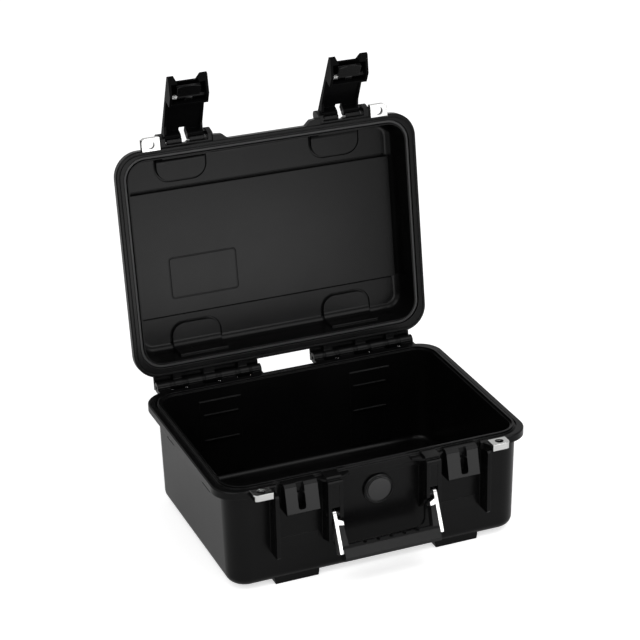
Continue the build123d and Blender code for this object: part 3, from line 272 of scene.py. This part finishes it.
def make_drawn_lines():
    """Long fine lines of rolled and brushed metal along one direction."""
    group, entry, leave = effect_group(
        "drawn lines",
        [("Stretch", "Vector", (6.0, 900.0, 900.0))],
        [("Lines", "Float"), ("Smudge", "Float")],
    )
    place = put(group, "ShaderNodeTexCoord").outputs["Object"]
    along = put(group, "ShaderNodeVectorMath", {0: place, 1: entry.outputs["Stretch"]}, operation="MULTIPLY")
    lines = spot_noise(group, along.outputs[0], 1.0, 4.0, 0.65)
    smudge = spot_noise(group, place, 45.0, 3.0)
    group.links.new(lines, leave.inputs["Lines"])
    group.links.new(spread(group, smudge, 0.3, 0.7), leave.inputs["Smudge"])
    return group


EFFECTS = {
    "grain": make_moulded_grain(),
    "rub": make_edge_rub(),
    "dust": make_settled_dust(),
    "lines": make_drawn_lines(),
}


def effect(tree, name, **values):
    """One of the shared effects placed in a material, with its own values."""
    node = tree.nodes.new("ShaderNodeGroup")
    node.node_tree = EFFECTS[name]
    for key, value in values.items():
        node.inputs[key.replace("_", " ")].default_value = value
    return node


def new_finish(name):
    """Empty material with its shader."""
    material = bpy.data.materials.new(name)
    material.use_nodes = True
    shader = material.node_tree.nodes["Principled BSDF"]
    return material, material.node_tree, shader


def blend_colours(tree, mask, first, second):
    """Output of a colour mix."""
    node = put(tree, "ShaderNodeMix", {"Factor": mask}, data_type="RGBA")
    for key, source in ((6, first), (7, second)):
        if isinstance(source, bpy.types.NodeSocket):
            tree.links.new(source, node.inputs[key])
        else:
            node.inputs[key].default_value = (*source, 1.0)
    return node.outputs[2]


def bump_normal(tree, strength, distance, height, normal=None):
    """Output of a bump node, over the face's own normal or a given one."""
    links = {"Strength": strength, "Distance": distance, "Height": height}
    if normal:
        links["Normal"] = normal
    return put(tree, "ShaderNodeBump", links).outputs["Normal"]


def moulded_plastic(name, dark, light, edge_wear_and_highlight, roughness, grain, bump, rub_width, dust, specular):
    """Moulded plastic with grain, slow gloss changes, lighter edges and dust; the edge colour is rubbed wear,
    and on the trigger a painted highlight.
    """
    material, tree, shader = new_finish(name)
    grains = effect(tree, "grain", Grain_Scale=grain, Flow_Scale=14.0)
    rub = effect(tree, "rub", Width=rub_width, Patch_Scale=90.0)
    dusty = effect(tree, "dust", Amount=dust, Scale=60.0)
    body = blend_colours(tree, grains.outputs["Flow"], dark, light)
    # Edge colour over the body: rubbed wear, and a painted highlight where the edge colour is bright
    body_with_wear_and_highlight = blend_colours(tree, rub.outputs["Mask"], body, edge_wear_and_highlight)
    colour = blend_colours(tree, dusty.outputs["Mask"], body_with_wear_and_highlight, (0.06, 0.058, 0.056))
    gloss = spread(tree, grains.outputs["Flow"], 0.0, 1.0, roughness[0], roughness[1])
    gloss = sums(tree, "MULTIPLY_ADD", rub.outputs["Mask"], -0.08, gloss)
    gloss = sums(tree, "MULTIPLY_ADD", dusty.outputs["Mask"], 0.35, gloss, clamp=True)
    relief = bump_normal(tree, bump, GRAIN_RELIEF, grains.outputs["Height"], rub.outputs["Normal"])
    tree.links.new(colour, shader.inputs["Base Color"])
    tree.links.new(gloss, shader.inputs["Roughness"])
    tree.links.new(relief, shader.inputs["Normal"])
    shader.inputs["Specular IOR Level"].default_value = specular
    return material


def bright_steel(name, stretch, roughness=(0.2, 0.34)):
    """Rolled stainless steel with fine lines and finger smudges."""
    material, tree, shader = new_finish(name)
    lines = effect(tree, "lines", Stretch=stretch)
    rub = effect(tree, "rub", Width=0.0005, Patch_Scale=120.0)
    body = blend_colours(tree, lines.outputs["Lines"], (0.54, 0.54, 0.535), (0.70, 0.70, 0.695))
    colour = blend_colours(tree, lines.outputs["Smudge"], body, (0.56, 0.56, 0.55))
    gloss = spread(tree, lines.outputs["Lines"], 0.2, 0.8, roughness[0], roughness[1])
    gloss = sums(tree, "MULTIPLY_ADD", lines.outputs["Smudge"], 0.06, gloss)
    relief = bump_normal(tree, 0.15, LINE_RELIEF, lines.outputs["Lines"], rub.outputs["Normal"])
    tree.links.new(colour, shader.inputs["Base Color"])
    tree.links.new(gloss, shader.inputs["Roughness"])
    tree.links.new(relief, shader.inputs["Normal"])
    shader.inputs["Metallic"].default_value = 1.0
    return material


def blackened_steel():
    """Oiled black oxide on the pins, thinner where the knuckles rub."""
    material, tree, shader = new_finish("blackened steel")
    lines = effect(tree, "lines", Stretch=(1400.0, 60.0, 60.0))
    rub = effect(tree, "rub", Width=0.0004, Patch_Scale=260.0)
    body = blend_colours(tree, lines.outputs["Smudge"], (0.010, 0.010, 0.011), (0.022, 0.022, 0.023))
    colour = blend_colours(tree, rub.outputs["Mask"], body, (0.12, 0.12, 0.12))
    relief = bump_normal(tree, 0.1, LINE_RELIEF, lines.outputs["Lines"], rub.outputs["Normal"])
    tree.links.new(colour, shader.inputs["Base Color"])
    tree.links.new(spread(tree, lines.outputs["Lines"], 0.2, 0.8, 0.26, 0.38), shader.inputs["Roughness"])
    tree.links.new(relief, shader.inputs["Normal"])
    shader.inputs["Metallic"].default_value = 1.0
    return material


def soft_rubber():
    """Black sealing rubber with a bloom of talc."""
    material, tree, shader = new_finish("sealing rubber")
    grains = effect(tree, "grain", Grain_Scale=2600.0, Flow_Scale=35.0)
    dusty = effect(tree, "dust", Amount=0.4, Scale=110.0)
    body = blend_colours(tree, grains.outputs["Flow"], (0.016, 0.016, 0.016), (0.026, 0.026, 0.027))
    colour = blend_colours(tree, dusty.outputs["Mask"], body, (0.12, 0.12, 0.12))
    relief = bump_normal(tree, 0.25, GRAIN_RELIEF, grains.outputs["Height"])
    tree.links.new(colour, shader.inputs["Base Color"])
    tree.links.new(spread(tree, grains.outputs["Flow"], 0.0, 1.0, 0.46, 0.6), shader.inputs["Roughness"])
    tree.links.new(relief, shader.inputs["Normal"])
    return material


def vent_felt():
    """White breathable membrane with a fine weave."""
    material, tree, shader = new_finish("vent felt")
    place = put(tree, "ShaderNodeTexCoord").outputs["Object"]
    threads = put(tree, "ShaderNodeTexVoronoi", {"Vector": place, "Scale": 2400.0}).outputs["Distance"]
    colour = blend_colours(tree, threads, (0.62, 0.62, 0.6), (0.86, 0.86, 0.84))
    relief = bump_normal(tree, 0.4, GRAIN_RELIEF, threads)
    tree.links.new(colour, shader.inputs["Base Color"])
    tree.links.new(spread(tree, threads, 0.0, 1.0, 0.7, 0.9), shader.inputs["Roughness"])
    tree.links.new(relief, shader.inputs["Normal"])
    return material


CASE_PLASTIC = moulded_plastic(
    "case plastic", dark=(0.0018, 0.0018, 0.0019), light=(0.0030, 0.0030, 0.0031),
    edge_wear_and_highlight=(0.014, 0.014, 0.0143), roughness=(0.22, 0.27), grain=1500.0,
    bump=0.06, rub_width=0.0009, dust=0.02, specular=0.11,
)
LATCH_PLASTIC = moulded_plastic(
    "latch plastic", dark=(0.0016, 0.0016, 0.0017), light=(0.0026, 0.0026, 0.0027),
    edge_wear_and_highlight=(0.016, 0.016, 0.0163), roughness=(0.20, 0.27), grain=1900.0,
    bump=0.08, rub_width=0.0007, dust=0.02, specular=0.02,
)
# The trigger's bright edge colour is a painted highlight on its edges and rounded arch, not wear
TRIGGER_PLASTIC = moulded_plastic(
    "trigger plastic", dark=(0.003, 0.003, 0.0031), light=(0.005, 0.005, 0.0051),
    edge_wear_and_highlight=(0.10, 0.10, 0.101), roughness=(0.18, 0.24), grain=1900.0,
    bump=0.08, rub_width=0.0014, dust=0.02, specular=0.07,
)
GRIP_PLASTIC = moulded_plastic(
    "grip plastic", dark=(0.005, 0.005, 0.0052), light=(0.008, 0.008, 0.0082),
    edge_wear_and_highlight=(0.03, 0.03, 0.031), roughness=(0.30, 0.40), grain=1300.0,
    bump=0.20, rub_width=0.0009, dust=0.03, specular=0.12,
)
VALVE_PLASTIC = moulded_plastic(
    "valve plastic", dark=(0.003, 0.003, 0.0031), light=(0.005, 0.005, 0.0051),
    edge_wear_and_highlight=(0.03, 0.03, 0.031), roughness=(0.24, 0.32), grain=1700.0,
    bump=0.15, rub_width=0.0005, dust=0.02, specular=0.2,
)
CAP_PLASTIC = moulded_plastic(
    "cap plastic", dark=(0.012, 0.012, 0.0124), light=(0.018, 0.018, 0.0184),
    edge_wear_and_highlight=(0.05, 0.05, 0.051), roughness=(0.34, 0.44), grain=1200.0,
    bump=0.25, rub_width=0.0004, dust=0.03, specular=0.3,
)
PLATE_STEEL = bright_steel("plate steel", (6.0, 900.0, 900.0), (0.10, 0.18))
PIN_STEEL = bright_steel("pin steel", (8.0, 1200.0, 1200.0), (0.16, 0.26))
DARK_STEEL = blackened_steel()
ARM_STEEL = bright_steel("arm steel", (900.0, 900.0, 8.0))
SEAL_RUBBER = soft_rubber()
FELT = vent_felt()

FINISHES = {
    "base_shell": CASE_PLASTIC,
    "lid_shell": CASE_PLASTIC,
    "latch_body": LATCH_PLASTIC,
    "latch_trigger": TRIGGER_PLASTIC,
    "handle_grip": GRIP_PLASTIC,
    "handle_frame": ARM_STEEL,
    "valve_body": VALVE_PLASTIC,
    "valve_nut": VALVE_PLASTIC,
    "valve_cap": CAP_PLASTIC,
    "valve_seal": SEAL_RUBBER,
    "lid_gasket": SEAL_RUBBER,
    "valve_membrane": FELT,
    "base_padlock_plate": PLATE_STEEL,
    "lid_padlock_plate": PLATE_STEEL,
    "hinge_pin": DARK_STEEL,
    "latch_pin": DARK_STEEL,
    "trigger_pin": PIN_STEEL,
    "trigger_spring": PIN_STEEL,
    "handle_pin": DARK_STEEL,
}


def dress_nodes():
    """Give every node of the frame its finish."""
    for name, node in case_nodes.items():
        plain = name.removesuffix("_left").removesuffix("_right")
        node.data.materials.clear()
        node.data.materials.append(FINISHES[plain])


# Pieces modelled here: finer forms of some nodes, and small details of the base and the lid

def select_only(piece):
    """Leave one object selected and active."""
    if bpy.context.object and bpy.context.object.mode != "OBJECT":
        bpy.ops.object.mode_set(mode="OBJECT")
    bpy.ops.object.select_all(action="DESELECT")
    piece.select_set(True)
    bpy.context.view_layer.objects.active = piece


def edit_all(piece):
    """Open a piece in edit mode with everything selected."""
    select_only(piece)
    bpy.ops.object.mode_set(mode="EDIT")
    bpy.ops.mesh.select_mode(type="FACE")
    bpy.ops.mesh.select_all(action="SELECT")


def pick_faces(piece, wanted):
    """Select the faces whose centre and normal pass a test, in edit mode."""
    bpy.ops.object.mode_set(mode="OBJECT")
    for face in piece.data.polygons:
        face.select = bool(wanted(face.center, face.normal))
    for edge in piece.data.edges:
        edge.select = False
    for vertex in piece.data.vertices:
        vertex.select = False
    for face in piece.data.polygons:
        if face.select:
            for index in face.vertices:
                piece.data.vertices[index].select = True
    bpy.ops.object.mode_set(mode="EDIT")
    bpy.ops.mesh.select_mode(type="FACE")


def smooth_piece(piece, angle):
    """Smooth shading below an angle, with flat faces kept even."""
    select_only(piece)
    if piece.data.has_custom_normals:
        bpy.ops.mesh.customdata_custom_splitnormals_clear()
    bpy.ops.object.shade_smooth_by_angle(angle=math.radians(angle))
    even = piece.modifiers.new("even normals", "WEIGHTED_NORMAL")
    even.keep_sharp = True
    even.weight = 100
    bpy.ops.object.modifier_apply(modifier=even.name)


def finish_piece(piece, body, finish, angle=35):
    """Smooth a piece, and give it its finish and its body."""
    smooth_piece(piece, angle)
    piece.data.materials.clear()
    piece.data.materials.append(finish)
    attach(piece, body)


def merge_points(piece):
    """Merge the points of a piece that coincide, which also takes away faces without area."""
    edit_all(piece)
    bpy.ops.mesh.remove_doubles(threshold=MERGE_REACH)
    bpy.ops.object.mode_set(mode="OBJECT")


def copy_of_node(node, name):
    """A node's mesh as a piece of its own, merged so that it can be cut."""
    piece = bpy.data.objects.new(name, case_nodes[node].data.copy())
    bpy.context.scene.collection.objects.link(piece)
    merge_points(piece)
    return piece


def add_block(name, x_span, y_span, z_span):
    """Block between spans in millimetres, in the frame of the closed case."""
    spans = (x_span, y_span, z_span)
    middle = [sum(span) / 2 * MM for span in spans]
    bpy.ops.mesh.primitive_cube_add(size=1, location=middle)
    piece = bpy.context.object
    piece.name = name
    piece.scale = [(span[1] - span[0]) * MM for span in spans]
    bpy.ops.object.transform_apply(location=True, rotation=True, scale=True)
    return piece


def add_ring(name, x_span, y_span, z_span, corner, width):
    """Rounded rectangular ring, its outer outline between the spans, for cutting a line."""
    piece = add_block(name, x_span, y_span, z_span)
    bpy.ops.object.mode_set(mode="EDIT")
    bpy.ops.mesh.select_mode(type="EDGE")
    bpy.ops.mesh.select_all(action="DESELECT")
    bpy.ops.object.mode_set(mode="OBJECT")
    for edge in piece.data.edges:
        ends = [piece.data.vertices[index].co for index in edge.vertices]
        edge.select = abs(ends[0].z - ends[1].z) > UPRIGHT_RISE
    bpy.ops.object.mode_set(mode="EDIT")
    bpy.ops.mesh.bevel(offset=corner * MM, offset_type="OFFSET", segments=CORNER_STEPS, affect="EDGES")
    pick_faces(piece, lambda centre, normal: abs(normal.z) > 0.9)
    bpy.ops.mesh.inset(thickness=width * MM, use_even_offset=True)
    bpy.ops.mesh.bridge_edge_loops()
    bpy.ops.mesh.select_all(action="SELECT")
    bpy.ops.mesh.normals_make_consistent(inside=False)
    bpy.ops.object.mode_set(mode="OBJECT")
    return piece


def keep_part(piece, place, direction):
    """Cut a piece by a plane and keep what lies against the direction, closed."""
    edit_all(piece)
    bpy.ops.mesh.bisect(
        plane_co=[value * MM for value in place], plane_no=direction, use_fill=True, clear_outer=True,
    )
    bpy.ops.object.mode_set(mode="OBJECT")


def open_with_lid(piece):
    """Turn a piece drawn on the closed case to where the open lid carries it."""
    select_only(piece)
    pivot = Matrix.Translation((0, HINGE_AXIS[0] * MM, HINGE_AXIS[1] * MM))
    turn = pivot @ Matrix.Rotation(-math.radians(LID_OPEN_ANGLE), 4, "X") @ pivot.inverted()
    piece.matrix_world = Matrix.Translation((0, CASE_SHIFT * MM, 0)) @ turn
    bpy.ops.object.transform_apply(location=True, rotation=True, scale=True)


def join_all(parts, name):
    """Join parts into one piece."""
    select_only(parts[0])
    for part in parts:
        part.select_set(True)
    bpy.ops.object.join()
    piece = bpy.context.object
    piece.name = name
    return piece


def bevel_edges(piece, width, segments=2, angle=50):
    """Round the sharp edges of a piece with an applied bevel, and merge the points where it meets itself."""
    select_only(piece)
    rounding = piece.modifiers.new("rounding", "BEVEL")
    rounding.width = width * MM
    rounding.segments = segments
    rounding.limit_method = "ANGLE"
    rounding.angle_limit = math.radians(angle)
    bpy.ops.object.modifier_apply(modifier=rounding.name)
    merge_points(piece)


def turn_hinge_collars(side):
    """Grooved collars on the hinge pin between the knuckles, and the leaf under the lid's knuckles."""
    sign = -1 if side == "left" else 1
    centre = ((HINGE_AXIS[0] + CASE_SHIFT) * MM, HINGE_AXIS[1] * MM)
    collars = []
    for gap in HINGE_GAPS:
        start, end = sorted((sign * (gap[0] + COLLAR_PLAY), sign * (gap[1] - COLLAR_PLAY)))
        bpy.ops.object.select_all(action="DESELECT")
        bpy.ops.mesh.primitive_cylinder_add(
            vertices=COLLAR_SIDES, radius=COLLAR_RADIUS * MM, depth=(end - start) * MM,
            location=((start + end) / 2 * MM, *centre), rotation=(0, math.radians(90), 0),
        )
        collar = bpy.context.object
        bpy.ops.object.transform_apply(location=True, rotation=True, scale=True)
        edit_all(collar)
        pick_faces(collar, lambda middle, normal: abs(normal.x) < 0.5)
        bpy.ops.mesh.inset(thickness=(end - start) * COLLAR_LAND * MM, use_even_offset=True)
        bpy.ops.mesh.extrude_region_shrink_fatten(
            TRANSFORM_OT_shrink_fatten={"value": -COLLAR_GROOVE * MM, "use_even_offset": True},
        )
        bpy.ops.object.mode_set(mode="OBJECT")
        collars.append(collar)
    leaf_depth = [value + CASE_SHIFT for value in LEAF_DEPTH]
    for room in LID_KNUCKLE_ROOM:
        collars.append(add_block("leaf", sorted(sign * value for value in room), leaf_depth, LEAF_HEIGHT))
    piece = join_all(collars, "hinge_collars_" + side)
    bevel_edges(piece, COLLAR_ROUND)
    finish_piece(piece, "base", CASE_PLASTIC)


def add_latch_sill(side):
    """Narrow sills on the lid's front below the latch eyes, one on each side of the window."""
    sign = -1 if side == "left" else 1
    sills = []
    for hand in (-1, 1):
        run = sorted((hand * SILL_RUN[0], hand * SILL_RUN[1]))
        span = [sign * LATCH_X + value for value in run]
        sills.append(add_block("sill", span, SILL_DEPTH, SILL_HEIGHT))
    piece = join_all(sills, "latch_sill_" + side)
    bevel_edges(piece, SILL_ROUND, segments=3)
    open_with_lid(piece)
    finish_piece(piece, "lid", CASE_PLASTIC)


def line_height(surface, depth):
    """Span of z of a cutter that goes into a surface from below."""
    return surface - CUTTER_START, surface + depth


def pad_line_cutters():
    """Rings round the four corner pads, each open towards the lid's wall."""
    cutters = []
    height = line_height(LID_CEILING, LINE_DEPTH)
    corner = PAD_CORNER + LINE_WIDTH
    for sign in (-1, 1):
        x_span = sorted((sign * (PAD_SPAN[0] - LINE_WIDTH), sign * (PAD_SPAN[1] + LINE_WIDTH)))
        front_span = (FRONT_PAD_END - CUTTER_REACH, FRONT_PAD_END + LINE_WIDTH)
        front = add_ring("cutter", x_span, front_span, height, corner, LINE_WIDTH)
        keep_part(front, (0, FRONT_LINE_START, 0), (0, -1, 0))
        back_span = (BACK_PAD_END - LINE_WIDTH, BACK_PAD_END + CUTTER_REACH)
        back = add_ring("cutter", x_span, back_span, height, corner, LINE_WIDTH)
        keep_part(back, (0, BACK_LINE_START, 0), (0, 1, 0))
        cutters += [front, back]
    return cutters


def field_line_cutters():
    """Straight lines along the front and back edges of the raised field."""
    height = line_height(LID_CEILING, LINE_DEPTH)
    spans = ((FIELD_FRONT - FIELD_FRONT_LINE, FIELD_FRONT), (FIELD_BACK, FIELD_BACK + LINE_WIDTH))
    return [add_block("cutter", (-FIELD_REACH, FIELD_REACH), y_span, height) for y_span in spans]


def label_line_cutter():
    """Outline of the label's place on the raised field."""
    spans = [(middle - size / 2, middle + size / 2) for middle, size in zip(LABEL_MIDDLE, LABEL_SIZE)]
    height = line_height(FIELD_CEILING, LABEL_LINE_DEPTH)
    return add_ring("cutter", *spans, height, LABEL_CORNER, LABEL_LINE_WIDTH)


def rim_line_cutter():
    """Line all round on the lid's mating face."""
    reach = [half - RIM_LINE_INSET for half in RIM_HALF]
    spans = [(-half, half) for half in reach]
    corner = RIM_CORNER - RIM_LINE_INSET
    return add_ring("cutter", *spans, line_height(LID_FACE, RIM_LINE_DEPTH), corner, RIM_LINE_WIDTH)


def cut_lid_moulding():
    """Lid moulding with the narrow lines round its pads, along its raised field and on its rim."""
    cutters = pad_line_cutters() + field_line_cutters()
    cutter = join_all([*cutters, label_line_cutter(), rim_line_cutter()], "cutter")
    open_with_lid(cutter)

    lid = copy_of_node("lid_shell", "lid_moulding")
    select_only(lid)
    cut = lid.modifiers.new("lines", "BOOLEAN")
    cut.operation = "DIFFERENCE"
    cut.solver = "EXACT"
    cut.object = cutter
    bpy.ops.object.modifier_apply(modifier=cut.name)
    bpy.data.objects.remove(cutter)
    merge_points(lid)
    finish_piece(lid, "lid", CASE_PLASTIC, angle=28)
    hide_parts("lid_shell")


def wind_trigger_spring(side):
    """Torsion spring of round wire: its curls are a screw of one section, closed at both ends."""
    node = "trigger_spring_" + side
    low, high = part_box(node)
    wire = SPRING_WIRE * MM
    length = high.x - low.x - 2 * wire
    radius = (high.z - low.z) / 2 - wire
    bpy.ops.object.select_all(action="DESELECT")
    bpy.ops.mesh.primitive_circle_add(vertices=SPRING_WIRE_SIDES, radius=wire)
    piece = bpy.context.object
    piece.name = "spring_wire_" + side
    edit_all(piece)
    bpy.ops.mesh.select_mode(type="VERT")
    bpy.ops.mesh.select_all(action="SELECT")
    bpy.ops.transform.translate(value=(0, radius, 0))
    bpy.ops.object.mode_set(mode="OBJECT")
    screw = piece.modifiers.new("curls", "SCREW")
    screw.axis = "X"
    screw.angle = math.tau
    screw.screw_offset = length / SPRING_CURLS
    screw.iterations = SPRING_CURLS
    screw.steps = SPRING_CURL_STEPS
    screw.render_steps = SPRING_CURL_STEPS
    bpy.ops.object.modifier_apply(modifier=screw.name)
    bpy.ops.object.mode_set(mode="EDIT")
    bpy.ops.mesh.select_mode(type="EDGE")
    bpy.ops.mesh.select_all(action="DESELECT")
    bpy.ops.mesh.select_non_manifold()
    bpy.ops.mesh.edge_face_add()
    bpy.ops.mesh.select_all(action="SELECT")
    bpy.ops.mesh.remove_doubles(threshold=MERGE_REACH)
    bpy.ops.mesh.normals_make_consistent(inside=False)
    bpy.ops.transform.translate(value=(low.x + wire, (low.y + high.y) / 2, (low.z + high.z) / 2))
    bpy.ops.object.mode_set(mode="OBJECT")
    finish_piece(piece, "latch_" + side, PIN_STEEL, angle=60)
    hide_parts(node)


def shape_valve_cap():
    """Valve cap with a bevelled edge, a narrow line and a slightly domed face."""
    low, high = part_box("valve_cap")
    radius = (high.x - low.x) / 2
    middle = ((low.x + high.x) / 2, high.y, (low.z + high.z) / 2)
    bpy.ops.object.select_all(action="DESELECT")
    bpy.ops.mesh.primitive_circle_add(
        vertices=CAP_SIDES, radius=radius, fill_type="NGON", location=middle,
        rotation=(math.radians(90), 0, 0),
    )
    piece = bpy.context.object
    piece.name = "valve_cap_face"
    bpy.ops.object.transform_apply(location=True, rotation=True, scale=True)
    edit_all(piece)
    bpy.ops.mesh.select_mode(type="VERT")
    bpy.ops.mesh.select_all(action="SELECT")
    depth, reach = high.y, radius
    for share, behind in CAP_STEPS:
        place = low.y + behind * MM
        bpy.ops.mesh.extrude_region_move(TRANSFORM_OT_translate={"value": (0, place - depth, 0)})
        factor = share * radius / reach
        bpy.ops.transform.resize(value=(factor, 1, factor), center_override=(middle[0], place, middle[2]))
        depth, reach = place, share * radius
    bpy.ops.mesh.select_all(action="SELECT")
    bpy.ops.mesh.normals_make_consistent(inside=False)
    bpy.ops.object.mode_set(mode="OBJECT")
    finish_piece(piece, "base", CAP_PLASTIC, angle=24)
    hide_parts("valve_cap")


def put_floor():
    """Pale floor that keeps the shadow."""
    bpy.ops.object.select_all(action="DESELECT")
    bpy.ops.mesh.primitive_plane_add(size=FLOOR_SIZE, location=(0, 0, -FLOOR_DROP))
    floor = bpy.context.object
    floor.name = "floor"
    material, tree, shader = new_finish("pale floor")
    place = put(tree, "ShaderNodeTexCoord").outputs["Object"]
    clouds = spread(tree, spot_noise(tree, place, 3.0, 3.0), 0.3, 0.7, 0.86, 0.9)
    tree.links.new(put(tree, "ShaderNodeCombineColor", {0: clouds, 1: clouds, 2: clouds}).outputs[0],
                   shader.inputs["Base Color"])
    shader.inputs["Roughness"].default_value = 0.9
    shader.inputs["Specular IOR Level"].default_value = 0.1
    path = put(tree, "ShaderNodeLightPath")
    seen = sums(tree, "MAXIMUM", path.outputs["Is Camera Ray"], path.outputs["Is Transmission Ray"])
    seen = sums(tree, "MULTIPLY", seen, FLOOR_GLOW)
    glossy = sums(tree, "MULTIPLY", path.outputs["Is Glossy Ray"], FLOOR_GLOW_IN_GLOSS)
    shader.inputs["Emission Color"].default_value = (1, 1, 1, 1)
    tree.links.new(sums(tree, "MAXIMUM", seen, glossy), shader.inputs["Emission Strength"])
    floor.data.materials.append(material)


def put_surroundings():
    """White surroundings, weaker where they light and mirror than where the camera sees them."""
    world = bpy.data.worlds.new("studio")
    bpy.context.scene.world = world
    world.use_nodes = True
    tree = world.node_tree
    back = tree.nodes["Background"]
    back.inputs["Color"].default_value = (1, 1, 1, 1)
    path = put(tree, "ShaderNodeLightPath")
    seen = sums(tree, "MAXIMUM", path.outputs["Is Camera Ray"], path.outputs["Is Transmission Ray"])
    glossy = sums(tree, "MULTIPLY", path.outputs["Is Glossy Ray"], WORLD_IN_GLOSS)
    strength = sums(tree, "MAXIMUM", sums(tree, "MAXIMUM", seen, glossy), WORLD_LIGHT)
    tree.links.new(strength, back.inputs["Strength"])


def put_lamps():
    """Soft lamps that the camera doesn't see."""
    for name, place, aim, size, power in LAMPS:
        data = bpy.data.lights.new(name, "AREA")
        data.shape = "RECTANGLE"
        data.size, data.size_y = size
        data.energy = power
        lamp = bpy.data.objects.new(name, data)
        lamp.location = place
        way = Vector(aim) - Vector(place)
        lamp.rotation_euler = way.to_track_quat("-Z", "Y").to_euler()
        lamp.visible_camera = False
        bpy.context.scene.collection.objects.link(lamp)


put_camera()
dress_nodes()
cut_lid_moulding()
for side in ("left", "right"):
    wind_trigger_spring(side)
    turn_hinge_collars(side)
    add_latch_sill(side)
shape_valve_cap()
put_floor()
put_surroundings()
put_lamps()
bpy.context.scene.view_settings.view_transform = "Standard"
